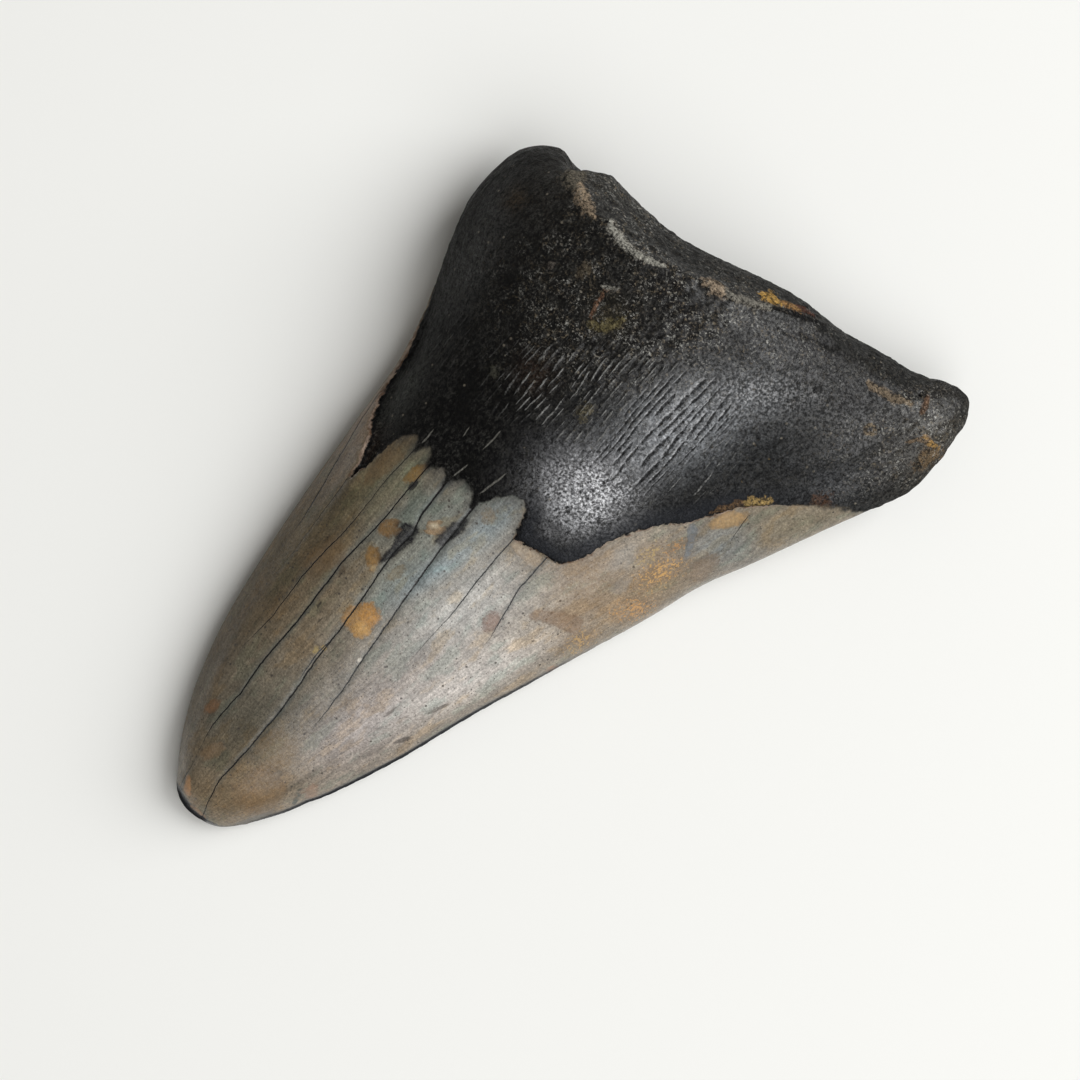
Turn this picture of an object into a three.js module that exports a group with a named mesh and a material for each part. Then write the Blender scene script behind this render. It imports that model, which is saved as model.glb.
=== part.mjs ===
// A fossil megalodon tooth, one natural piece, lying on its flat outer face.
//
// Frame, in millimetres: +Y runs from the tip to the root, +X across the crown, and +Z up through
// the domed inner face. The origin is the centre of the bottom of the tooth's bounding box.
//
// The tooth is a four-sided patch, stretched over its plan outline, and closed by an upper skin
// and a lower skin that meet along the outline. "Across" runs from 0 at the left edge to 1 at the
// right edge, and "along" from 0 at the tip to 1 at the base of the root.
import * as THREE from "three";

const { lerp, smoothstep } = THREE.MathUtils;

// Driving heights
const ROOT_CREST = 24.5; // top of the root's bulge, the thickest place
const CROWN_RIM = 1.7; // height of the crown's worn cutting edges
const BASE_RIM = 7.5; // height of the outline around the root
const LABIAL_HOLLOW = 1.6; // how far the flat face is hollowed between its three pads
const LOBE_THINNING = 0.26; // how much thinner the right lobe of the root is than the left

// Where the crown turns into the root, as places along the tooth
const ROOT_START = 0.55;
const ROOT_FULL = 0.8;

// How wide the flat middle of each skin is, towards each side, as the power of its curve
const CROWN_FLATNESS = { left: 2.9, right: 1.9 };
const ROOT_FLATNESS = { left: 2.6, right: 2.1 };
const LABIAL_FLATNESS = { left: 4.5, right: 4.5 };
const SIDE_BLUNTNESS = 0.62;

// How far the rounding of each end reaches, as a share of the length, and its curve
const TIP_ROUND = { reach: 0.07, flatness: 2, bluntness: 0.5 };
const BASE_ROUND = { reach: 0.09, flatness: 2.4, bluntness: 0.6 };

// Soft features of the domed face: each has a middle, half widths and a height
const FEATURES = {
  lump: { centre: [4.5, 10], reach: [9, 6.5], height: 1.5 },
  neckHollow: { centre: [-9, 6], reach: [9, 8], height: -1.2 },
  baseFurrow: { centre: [15, 46.5], reach: [13, 4.5], height: -1.1 },
};
// The three pads of the flat face, which reach down past the level that they are worn to
const PADS = {
  leftLobe: { centre: [-24, 31], reach: [8, 9], height: -3 },
  rightLobe: { centre: [24, 44], reach: [9, 8], height: -3.4 },
  tip: { centre: [-2, -40], reach: [8, 14], height: -2 },
};

// Fineness of the two skins
const COLUMNS = 34;
const ROWS = 42;
const EDGE_CROWDING = 0.72; // share of cosine spacing, which crowds the rows near the outline

// The plan outline in four runs. Each starts where its neighbour does.
const LEFT_EDGE = [
  [-6.6, -58.7],
  [-9.6, -55.4],
  [-14.4, -47.7],
  [-18.4, -37.8],
  [-21.4, -26.5],
  [-23.6, -16],
  [-25.1, -6.5],
  [-26.1, 1.6],
  [-27.3, 8],
  [-29.8, 14],
  [-33.3, 20.6],
  [-36, 26.5],
  [-37.3, 33],
  [-37.3, 38.4],
  [-35.6, 42],
];
const ROOT_BASE = [
  [-35.6, 42],
  [-33, 43.9],
  [-28.4, 44.4],
  [-22.8, 46.6],
  [-17, 46.7],
  [-8.3, 48.4],
  [0.2, 51.6],
  [6.5, 53.8],
  [12.3, 54.5],
  [18.9, 56.6],
  [26, 58.5],
  [30.6, 61.2],
  [33.6, 61.1],
  [36, 58],
];
const RIGHT_EDGE = [
  [5.2, -56.8],
  [8.9, -48.8],
  [13.6, -33.9],
  [17.7, -18],
  [21.4, -4],
  [24.1, 5],
  [26.3, 14.4],
  [29.5, 23.4],
  [33.2, 34.3],
  [35.3, 40],
  [37.4, 45.6],
  [37.2, 51],
  [36, 58],
];
const TIP = [
  [-6.6, -58.7],
  [-3.6, -61],
  [-0.4, -61.4],
  [2.6, -60],
  [5.2, -56.8],
];

/**
 * A smooth curve through points in the plan.
 * @param {number[][]} points the places that it passes through
 * @returns {THREE.CatmullRomCurve3} the curve, whose z is 0
 */
function curveThrough(points) {
  const places = points.map(([x, y]) => new THREE.Vector3(x, y, 0));
  return new THREE.CatmullRomCurve3(places, false, "centripetal");
}

const leftEdge = curveThrough(LEFT_EDGE);
const rightEdge = curveThrough(RIGHT_EDGE);
const rootBase = curveThrough(ROOT_BASE);
const tip = curveThrough(TIP);

/**
 * A smooth graph through hand-set knots.
 * @param {number[][]} knots pairs of place and value, in rising order of place
 * @returns {(place: number) => number} the value at any place
 */
function graph(knots) {
  const places = knots.map(([place]) => place);
  const values = knots.map(([, value]) => value);
  const cubic = new THREE.CubicInterpolant(places, values, 1);
  return (place) => cubic.evaluate(place)[0];
}

// How high the crest stands along the tooth, as a share of the root's bulge
const crestShare = graph([
  [0, 0.2],
  [0.05, 0.3],
  [0.12, 0.38],
  [0.25, 0.475],
  [0.4, 0.57],
  [0.52, 0.655],
  [0.62, 0.76],
  [0.72, 0.87],
  [0.82, 0.965],
  [0.9, 1],
  [1, 0.98],
]);
// How high the outline stands along each edge, from the crown's rim, 0, to the root's, 1
const rimShare = graph([
  [0, 0],
  [0.5, 0],
  [0.62, 0.12],
  [0.74, 0.5],
  [0.86, 0.95],
  [1, 1],
]);
// Where the crest lies across the tooth
const crestPlace = graph([
  [0, 0.45],
  [0.3, 0.4],
  [0.6, 0.38],
  [0.8, 0.4],
  [1, 0.4],
]);

/**
 * A pillow's profile: 1 at the middle, falling to 0 at the edge.
 * @param {number} away distance from the middle, 0 to 1
 * @param {number} flatness how wide the flat middle is
 * @param {number} bluntness how blunt the edge is: nearer 0 is blunter
 * @returns {number} the share of the full height
 */
function pillow(away, flatness, bluntness) {
  return Math.pow(Math.max(0, 1 - Math.pow(away, flatness)), bluntness);
}

/**
 * The rounding at one end of the tooth.
 * @param {number} fromEnd how far the place is from that end, as a share of the length
 * @param {{reach: number, flatness: number, bluntness: number}} round the rounding's sizes
 * @returns {number} 0 at the end, and 1 from the rounding's reach inwards
 */
function endRounding(fromEnd, round) {
  return pillow(Math.max(0, 1 - fromEnd / round.reach), round.flatness, round.bluntness);
}

/**
 * A soft round swelling, such as a lump, or a hollow if its height is negative.
 * @param {THREE.Vector3} place the place in the plan
 * @param {{centre: number[], reach: number[], height: number}} shape the swelling's sizes
 * @returns {number} its full height at its middle, fading to 0
 */
function swelling(place, shape) {
  const u = (place.x - shape.centre[0]) / shape.reach[0];
  const v = (place.y - shape.centre[1]) / shape.reach[1];
  return shape.height * Math.exp(-(u * u + v * v));
}

/** The summed height of several swellings at a place. */
function swellings(place, shapes) {
  return Object.values(shapes).reduce((sum, shape) => sum + swelling(place, shape), 0);
}

/**
 * A place in the plan, from the four edge curves of the patch.
 * @param {number} across 0 at the left edge, 1 at the right
 * @param {number} along 0 at the tip, 1 at the base
 * @returns {THREE.Vector3} the place, with z 0
 */
function planPlace(across, along) {
  const sides = leftEdge.getPointAt(along).lerp(rightEdge.getPointAt(along), across);
  const ends = tip.getPointAt(across).lerp(rootBase.getPointAt(across), along);
  const tipCorners = tip.getPointAt(0).lerp(tip.getPointAt(1), across);
  const baseCorners = rootBase.getPointAt(0).lerp(rootBase.getPointAt(1), across);
  return sides.add(ends).sub(tipCorners.lerp(baseCorners, along));
}

/** The outline's height at a place along the tooth, in mm. */
function rimHeight(along) {
  return lerp(CROWN_RIM, BASE_RIM, rimShare(along));
}

/**
 * How full the tooth is at a place, from 0 on the outline to 1 on the crest.
 * @param {number} across 0 at the left edge, 1 at the right
 * @param {number} along 0 at the tip, 1 at the base
 * @param {{left: number, right: number}} flatness how wide the flat middle is, each way
 * @returns {number} the share of the full height
 */
function fullness(across, along, flatness) {
  const crest = crestPlace(along);
  const side =
    across < crest
      ? pillow((crest - across) / crest, flatness.left, SIDE_BLUNTNESS)
      : pillow((across - crest) / (1 - crest), flatness.right, SIDE_BLUNTNESS);
  return side * endRounding(along, TIP_ROUND) * endRounding(1 - along, BASE_ROUND);
}

/**
 * Height of the upper, domed skin.
 * @param {THREE.Vector3} place the place in the plan
 * @param {number} across 0 at the left edge, 1 at the right
 * @param {number} along 0 at the tip, 1 at the base
 * @returns {number} its height in mm
 */
function upperHeight(place, across, along) {
  const rim = rimHeight(along);
  const rootness = smoothstep(along, ROOT_START, ROOT_FULL);
  const full = fullness(across, along, {
    left: lerp(CROWN_FLATNESS.left, ROOT_FLATNESS.left, rootness),
    right: lerp(CROWN_FLATNESS.right, ROOT_FLATNESS.right, rootness),
  });
  const thinning = 1 - LOBE_THINNING * rootness * smoothstep(across, 0.45, 0.95);
  const crest = ROOT_CREST * crestShare(along) * thinning;
  const clearOfEdge = Math.min(1, full * 2);
  return rim + (crest - rim) * full + clearOfEdge * swellings(place, FEATURES);
}

/**
 * Height of the lower, flat skin, which is hollowed between three pads worn level.
 * @param {THREE.Vector3} place the place in the plan
 * @param {number} across 0 at the left edge, 1 at the right
 * @param {number} along 0 at the tip, 1 at the base
 * @returns {number} its height in mm
 */
function lowerHeight(place, across, along) {
  const full = fullness(across, along, LABIAL_FLATNESS);
  return Math.max(0, lerp(rimHeight(along), LABIAL_HOLLOW, full) + swellings(place, PADS));
}

/**
 * Evenly numbered places from 0 to 1, crowded towards both ends.
 * @param {number} count how many steps there are
 * @returns {number[]} the places
 */
function crowdedSteps(count) {
  return Array.from({ length: count + 1 }, (_, i) => {
    const even = i / count;
    return lerp(even, 0.5 - 0.5 * Math.cos(Math.PI * even), EDGE_CROWDING);
  });
}

/**
 * The two skins' corners, row by row. They share the corners that lie on the outline.
 * @returns {{positions: number[], upper: number[][], lower: number[][]}} the corners' places, and
 *   the number of each corner in both skins
 */
function skinCorners() {
  const positions = [];
  const addCorner = (place, height) => positions.push(place.x, place.y, height) / 3 - 1;
  const upper = [];
  const lower = [];
  crowdedSteps(ROWS).forEach((along, j) => {
    const upperRow = [];
    const lowerRow = [];
    crowdedSteps(COLUMNS).forEach((across, i) => {
      const place = planPlace(across, along);
      if (i === 0 || j === 0 || i === COLUMNS || j === ROWS) {
        upperRow.push(addCorner(place, rimHeight(along)));
        lowerRow.push(upperRow[i]);
      } else {
        upperRow.push(addCorner(place, upperHeight(place, across, along)));
        lowerRow.push(addCorner(place, lowerHeight(place, across, along)));
      }
    });
    upper.push(upperRow);
    lower.push(lowerRow);
  });
  return { positions, upper, lower };
}

/**
 * Two triangles for each square of a skin. Their diagonals start towards the patch's nearest
 * corner, so that no triangle has all of its corners on the outline.
 * @param {number[][]} skin the number of each corner, row by row
 * @returns {number[]} corner numbers, three to a triangle, facing up
 */
function skinTriangles(skin) {
  const triangles = [];
  for (let j = 0; j < ROWS; j++) {
    for (let i = 0; i < COLUMNS; i++) {
      const [a, b] = [skin[j][i], skin[j][i + 1]];
      const [d, c] = [skin[j + 1][i], skin[j + 1][i + 1]];
      const rising = i < COLUMNS / 2 === j < ROWS / 2;
      triangles.push(...(rising ? [a, b, c, a, c, d] : [a, b, d, b, c, d]));
    }
  }
  return triangles;
}

/** The tooth's closed surface, facing outwards. */
function toothGeometry() {
  const { positions, upper, lower } = skinCorners();
  const facingUp = skinTriangles(upper);
  const facingDown = skinTriangles(lower).reverse();
  const geometry = new THREE.BufferGeometry();
  geometry.setAttribute("position", new THREE.Float32BufferAttribute(positions, 3));
  geometry.setIndex(facingUp.concat(facingDown));
  geometry.computeVertexNormals();
  return geometry;
}

const fossilBone = new THREE.MeshStandardMaterial({
  color: 0x6b6459,
  roughness: 0.45,
  metalness: 0,
});

const tooth = new THREE.Mesh(toothGeometry(), fossilBone);
tooth.name = "tooth";

const megalodonTooth = new THREE.Group();
megalodonTooth.add(tooth);

export default megalodonTooth;
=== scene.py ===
import logging
import math
from dataclasses import dataclass, field
from enum import Enum

import bpy
import numpy as np
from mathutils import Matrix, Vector


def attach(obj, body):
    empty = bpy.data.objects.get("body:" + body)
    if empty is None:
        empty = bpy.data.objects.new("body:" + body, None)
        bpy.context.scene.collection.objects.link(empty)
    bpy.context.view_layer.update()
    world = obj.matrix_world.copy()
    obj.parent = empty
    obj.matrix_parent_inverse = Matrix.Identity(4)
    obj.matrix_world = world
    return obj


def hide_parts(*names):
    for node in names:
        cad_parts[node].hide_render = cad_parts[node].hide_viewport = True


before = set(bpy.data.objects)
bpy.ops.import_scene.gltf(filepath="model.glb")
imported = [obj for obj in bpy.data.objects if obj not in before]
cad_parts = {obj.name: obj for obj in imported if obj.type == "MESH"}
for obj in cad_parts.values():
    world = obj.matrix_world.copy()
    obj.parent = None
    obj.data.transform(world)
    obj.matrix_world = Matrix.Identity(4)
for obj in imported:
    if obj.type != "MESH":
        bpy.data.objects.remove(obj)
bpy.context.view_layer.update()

MM = 0.001
NODE = "tooth"
BODY = "root"

log = logging.getLogger("fossil_tooth")

Array = np.ndarray
Socket = bpy.types.NodeSocket
Source = Socket | float | tuple
Colour = tuple[float, float, float]
Size = tuple[float, float, float]
Point = tuple[float, float]
Layers = tuple[tuple[float, ...], ...]


# ---------------------------------------------------------------- measuring and noise


def smooth_step(values: Array, low: float, high: float) -> Array:
    """Eases values from 0 at low to 1 at high.

    Args:
        values: the numbers to ease.
        low: where the result leaves 0.
        high: where the result reaches 1. It may be below low, which turns the ease round.

    Returns:
        The eased numbers, from 0 to 1.
    """
    share = np.clip((values - low) / (high - low), 0.0, 1.0)
    return share * share * (3.0 - 2.0 * share)


def distance_to_line(places: Array, corners: list[Point], closed: bool = False) -> Array:
    """Measures how far places in the plan are from a line of straight runs.

    Args:
        places: the places, as rows of x and y.
        corners: the line's corners.
        closed: whether the last corner joins the first.

    Returns:
        One distance for each place.
    """
    line = np.array(corners + corners[:1] if closed else corners, float)
    nearest = np.full(len(places), np.inf)
    for start, end in zip(line[:-1], line[1:]):
        run = end - start
        share = np.clip(((places - start) @ run) / max(run @ run, 1e-9), 0.0, 1.0)
        gap = places - start - share[:, None] * run
        nearest = np.minimum(nearest, np.hypot(gap[:, 0], gap[:, 1]))
    return nearest


def inside_outline(places: Array, corners: list[Point]) -> Array:
    """Tells which places in the plan are inside a closed line.

    Args:
        places: the places, as rows of x and y.
        corners: the closed line's corners.

    Returns:
        True for each place that is inside.
    """
    line = np.array(corners, float)
    inside = np.zeros(len(places), bool)
    for (x0, y0), (x1, y1) in zip(line, np.roll(line, -1, axis=0)):
        if y0 == y1:
            continue
        spans = (places[:, 1] < y0) != (places[:, 1] < y1)
        crossing = x0 + (places[:, 1] - y0) * (x1 - x0) / (y1 - y0)
        inside ^= spans & (places[:, 0] < crossing)
    return inside


def along_tooth(places: Array, pairs: list[Point]) -> Array:
    """Reads a value that changes along the tooth.

    Args:
        places: rows of x and y.
        pairs: pairs of y and the value there, from the tip to the root.

    Returns:
        One value for each place.
    """
    ys, values = zip(*pairs)
    return np.interp(places[:, 1], ys, values)


@dataclass
class SolidNoise:
    """Smooth seeded noise that fills space, for carving. It repeats after some cells."""

    seed: int
    cells: int = 256
    gain: float = 1.7
    layer_shift: float = 31.7

    def __post_init__(self) -> None:
        """Draws the noise's slopes from its seed."""
        draw = np.random.default_rng(self.seed)
        self.order = draw.permutation(self.cells)
        slopes = draw.normal(size=(self.cells, 3))
        self.slopes = slopes / np.linalg.norm(slopes, axis=1)[:, None]

    def at(self, places: Array, size: Size) -> Array:
        """Reads one layer of the noise.

        Args:
            places: rows of x, y and z.
            size: the size of the noise's lumps along x, y and z.

        Returns:
            One value for each place, from about -1 to 1.
        """
        scaled = places / np.array(size)
        cell = np.floor(scaled).astype(int)
        rest = scaled - cell
        ease = rest**3 * (rest * (rest * 6.0 - 15.0) + 10.0)
        last = self.cells - 1
        total = np.zeros(len(places))
        for corner in np.ndindex(2, 2, 2):
            x, y, z = ((cell + corner) & last).T
            slope = self.slopes[self.order[(self.order[(self.order[x] + y) & last] + z) & last]]
            weight = np.prod(np.where(corner, ease, 1.0 - ease), axis=1)
            total += weight * np.einsum("ij,ij->i", slope, rest - corner)
        return self.gain * total

    def layered(self, places: Array, size: Size, layers: int) -> Array:
        """Reads several layers, each half as large and half as strong as the last.

        Args:
            places: rows of x, y and z.
            size: the size of the largest lumps along x, y and z.
            layers: how many layers there are.

        Returns:
            One value for each place, from about -1 to 1.
        """
        total = np.zeros(len(places))
        for layer in range(layers):
            shrink = 0.5**layer
            shifted = places + self.layer_shift * layer
            total += shrink * self.at(shifted, tuple(shrink * s for s in size))
        return total


# ---------------------------------------------------------------- marks on the surface


@dataclass(frozen=True)
class Patch:
    """A soft-edged oval on the surface, such as a stain, a tint or a lump."""

    x: float
    y: float
    wide: float
    long: float
    turn: float = 0.0
    amount: float = 1.0

    def field(self, places: Array) -> Array:
        """Measures how deep inside the oval each place is.

        Args:
            places: rows of x and y.

        Returns:
            1 at the middle, 0 on the rim, and below 0 outside.
        """
        across, along = places[:, 0] - self.x, places[:, 1] - self.y
        cos, sin = math.cos(math.radians(self.turn)), math.sin(math.radians(self.turn))
        u = (across * cos + along * sin) / self.wide
        v = (along * cos - across * sin) / self.long
        return 1.0 - np.hypot(u, v)

    def glow(self, places: Array) -> Array:
        """Gives a soft bell over the oval, 1 at the middle times the patch's amount."""
        away = 1.0 - self.field(places)
        return self.amount * np.exp(-(away**2))


@dataclass(frozen=True)
class Vein:
    """A line on the surface, such as a seam of crust, with a half width at each corner."""

    course: list[Point]
    widths: list[float]

    def field(self, places: Array) -> Array:
        """Measures how deep inside the line each place is.

        Args:
            places: rows of x and y.

        Returns:
            1 on the line, 0 on its rims, and below 0 outside.
        """
        line = np.array(self.course, float)
        deepest = np.full(len(places), -np.inf)
        for (start, end), (thick, thin) in zip(
            zip(line[:-1], line[1:]), zip(self.widths[:-1], self.widths[1:])
        ):
            run = end - start
            share = np.clip(((places - start) @ run) / max(run @ run, 1e-9), 0.0, 1.0)
            gap = places - start - share[:, None] * run
            width = thick + share * (thin - thick)
            deepest = np.maximum(deepest, 1.0 - np.hypot(gap[:, 0], gap[:, 1]) / width)
        return deepest


@dataclass(frozen=True)
class Tint:
    """A soft patch of colour."""

    patch: Patch
    colour: Colour


@dataclass(frozen=True)
class Stain:
    """A stain or crust with a ragged rim."""

    shape: Patch | Vein
    colour: Colour
    cover: float = 1.0


@dataclass(frozen=True)
class Crack:
    """A crack, from its root end to its tip end, with pairs of y and how open it is there."""

    course: list[Point]
    opening: list[Point]

    def side(self, places: Array) -> Array:
        """Measures how far to the right of the crack each place is.

        Args:
            places: rows of x and y.

        Returns:
            The distance across the tooth, negative to the left.
        """
        return places[:, 0] - along_tooth(places, [(y, x) for x, y in reversed(self.course)])

    def openness(self, places: Array) -> Array:
        """How open the crack is beside each place: 0 is shut and 1 is wide."""
        return along_tooth(places, self.opening[::-1])


ORANGE = (0.40, 0.20, 0.05)
ASH = (0.37, 0.36, 0.315)
GOLD = (0.55, 0.33, 0.09)
SOOT = (0.006, 0.006, 0.008)


class Marks:
    """Where the tooth's features are."""

    # The edge of the enamel on the domed face, from the left outline to the right one
    enamel_edge: list[Point] = [
        (-33.0, 19.8), (-30.6, 16.1), (-28.2, 11.2), (-26.5, 7.2), (-26.0, 3.7), (-24.9, 0.5),
        (-23.3, -2.2), (-21.5, -4.7), (-20.1, -7.8), (-19.6, -10.2), (-19.3, -8.4), (-19.2, -5.6),
        (-19.2, -3.2), (-18.8, -1.2), (-18.1, 0.1), (-17.4, 0.6), (-16.6, 0.3), (-16.1, -1.2),
        (-15.5, 0.2), (-14.7, 0.9), (-13.9, 0.4), (-13.1, -1.8), (-12.4, -0.9), (-11.4, 0.2),
        (-10.4, -0.2), (-9.7, -1.6), (-9.1, 0.0), (-8.1, 0.9), (-6.6, 1.0), (-5.5, 0.4),
        (-4.7, -1.3), (-3.9, 1.2), (-3.1, 3.0), (-1.8, 4.5), (-0.3, 5.1), (1.1, 4.6),
        (2.2, 1.7), (2.8, 0.5), (4.1, 0.9), (5.7, 1.3), (7.6, 1.9), (9.3, 2.3),
        (10.4, 3.3), (11.1, 5.0), (11.8, 6.8), (12.1, 9.2), (12.9, 11.3), (14.0, 13.9),
        (15.4, 16.1), (16.7, 18.1), (18.2, 19.9), (19.1, 21.8), (20.5, 24.1), (21.8, 26.5),
        (23.2, 28.3), (26.0, 31.3), (29.0, 34.4), (31.7, 36.8), (35.5, 39.4),
    ]
    # The same on the flat face
    flat_edge: list[Point] = [(-33.5, 19.8), (-24, 17.5), (0, 20), (24, 31), (35.5, 39.4)]
    # Round the outside of the crown, to close either edge
    crown_round: list[Point] = [(60, 39.4), (60, -80), (-60, -80), (-60, 19.8)]

    # Pairs of y and a value there: half the crown's width, its middle, the line that its right
    # edge lies to the right of, and how dark that edge is
    crown_half: list[Point] = [(-62, 5), (-50, 12), (-35, 17.5), (-15, 21), (5, 25), (20, 31)]
    crown_middle: list[Point] = [(-60, -1.5), (20, -2.0)]
    right_part: list[Point] = [(-62, 2.0), (-50, 3.0), (-20, 8.0), (20, 22.0)]
    edge_darkening: list[Point] = [(-60, 0.3), (-54, 0.5), (-46, 1.0), (-22, 0.9), (-10, 0.5), (3, 0.0)]

    # The ridge where the root's domed face meets its base
    basal_ridge: list[Point] = [
        (-29.1, 41.2), (-25.5, 40.4), (-21.6, 39.3), (-17.4, 39.2), (-12.5, 39.9), (-7.1, 42.4),
        (-2.5, 45.0), (2.6, 47.2), (9.0, 51.2), (13.9, 52.9),
    ]

    # Left to right
    cracks: list[Crack] = [
        Crack(
            [(-19.9, -9), (-19.2, -16), (-18.0, -23.3), (-17.3, -30), (-15.5, -42), (-9, -54)],
            [(-9, 0.0), (-11, 0.35), (-24, 0.25), (-30, 0.0)],
        ),
        Crack(
            [(-16.2, 0.7), (-15.9, -6.9), (-14.9, -14.6), (-14.5, -24.8), (-13.4, -32),
             (-13.3, -38), (-12, -44), (-7.5, -56)],
            [(1, 0.4), (-10, 0.3), (-22, 0.5), (-34, 0.35), (-44, 0.0)],
        ),
        Crack(
            [(-13.2, 0.7), (-12.1, -11.6), (-11.9, -18.7), (-11.1, -25.1), (-10.2, -31),
             (-9.8, -37), (-8.7, -43.3), (-8.3, -49.2), (-6.8, -54), (-4.5, -60)],
            [(1, 0.5), (-14, 0.6), (-22, 0.85), (-40, 0.8), (-47, 0.5), (-54, 0.15), (-57, 0.35)],
        ),
        Crack(
            [(-9.9, 0.7), (-8.8, -6.8), (-7.8, -9.3), (-7.7, -13.8), (-6.3, -20.1), (-5.2, -26.8),
             (-4.7, -31), (-3.8, -35.6), (-3.0, -40), (-2.2, -47.4), (-1.9, -54.3), (-1.0, -57.2),
             (0.4, -61)],
            [(3, 0.6), (-3, 1.2), (-9, 1.0), (-15, 0.8), (-30, 0.7), (-40, 0.9), (-52, 0.7),
             (-57, 0.4)],
        ),
        Crack(
            [(-5.0, 5.7), (-4.5, -0.6), (-3.6, -7.4), (-3.0, -10.8), (-1.9, -17), (-0.8, -22.6),
             (0.2, -27.8), (1.2, -32.5), (2.3, -40.1), (3, -50), (3, -60)],
            [(6, 0.5), (2, 1.0), (-5, 1.5), (-9, 0.9), (-26, 0.75), (-36, 0.45), (-41, 0.0)],
        ),
        Crack(
            [(2.0, 7.1), (2.6, 0.5), (3.2, -6.1), (4.2, -13.1), (4.4, -17.5), (5.0, -24), (6, -36)],
            [(3, 0.6), (-8, 0.6), (-15, 0.3), (-20, 0.25), (-26, 0.0)],
        ),
        Crack(
            [(7.7, 3.4), (8.3, -4.0), (9.5, -8.4), (10.6, -12.5), (11.0, -16), (11.5, -30)],
            [(2, 0.8), (-8, 0.6), (-11, 0.3), (-16, 0.0)],
        ),
    ]
    # Short strands that run beside the cracks, or apart from them
    strands: list[Crack] = [
        Crack([(-26.0, -3.0), (-25.6, -7.0), (-23.9, -15.6), (-22.5, -22)],
              [(-4, 0.0), (-6, 0.5), (-16, 0.5), (-21, 0.0)]),
        Crack([(-25.6, 2.0), (-24.3, -4.0), (-22.8, -10.3), (-20.5, -19.4), (-19.5, -26)],
              [(2, 0.0), (0, 0.5), (-8, 0.6), (-18, 0.45), (-24, 0.0)]),
        Crack([(-5.0, -26), (-5.1, -31), (-4.2, -35.5), (-3.5, -40)],
              [(-27, 0.0), (-29, 0.5), (-34, 0.5), (-36.5, 0.0)]),
        Crack([(23.4, 27.0), (23.8, 25.4), (24.2, 23.6), (24.9, 21.2)],
              [(27, 0.0), (26.6, 0.4), (23, 0.3), (21.5, 0.0)]),
    ]

    # Pale scratches on the root, above the ends of the cracks
    scratches: list[Crack] = [
        Crack([(-16.2, 2.9), (-16.0, 0.6)], [(3.2, 0.0), (2.4, 0.8), (0.9, 1.0), (0.3, 0.0)]),
        Crack([(-12.9, 6.8), (-12.5, 5.2)], [(7.0, 0.0), (6.3, 0.6), (5.6, 0.6), (5.0, 0.0)]),
        Crack([(-9.4, 9.8), (-9.3, 6.2), (-9.3, 2.8), (-9.6, 0.0)],
              [(9.8, 0.0), (8.9, 0.9), (7.0, 0.9), (5.9, 0.0), (3.2, 0.0), (2.4, 0.8), (0.8, 0.8),
               (0.3, 0.0)]),
        Crack([(-4.6, 6.2), (-4.9, 3.6), (-5.2, 1.2)],
              [(6.2, 0.0), (5.2, 0.9), (3.4, 1.3), (1.8, 0.9), (1.2, 0.0)]),
    ]

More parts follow.
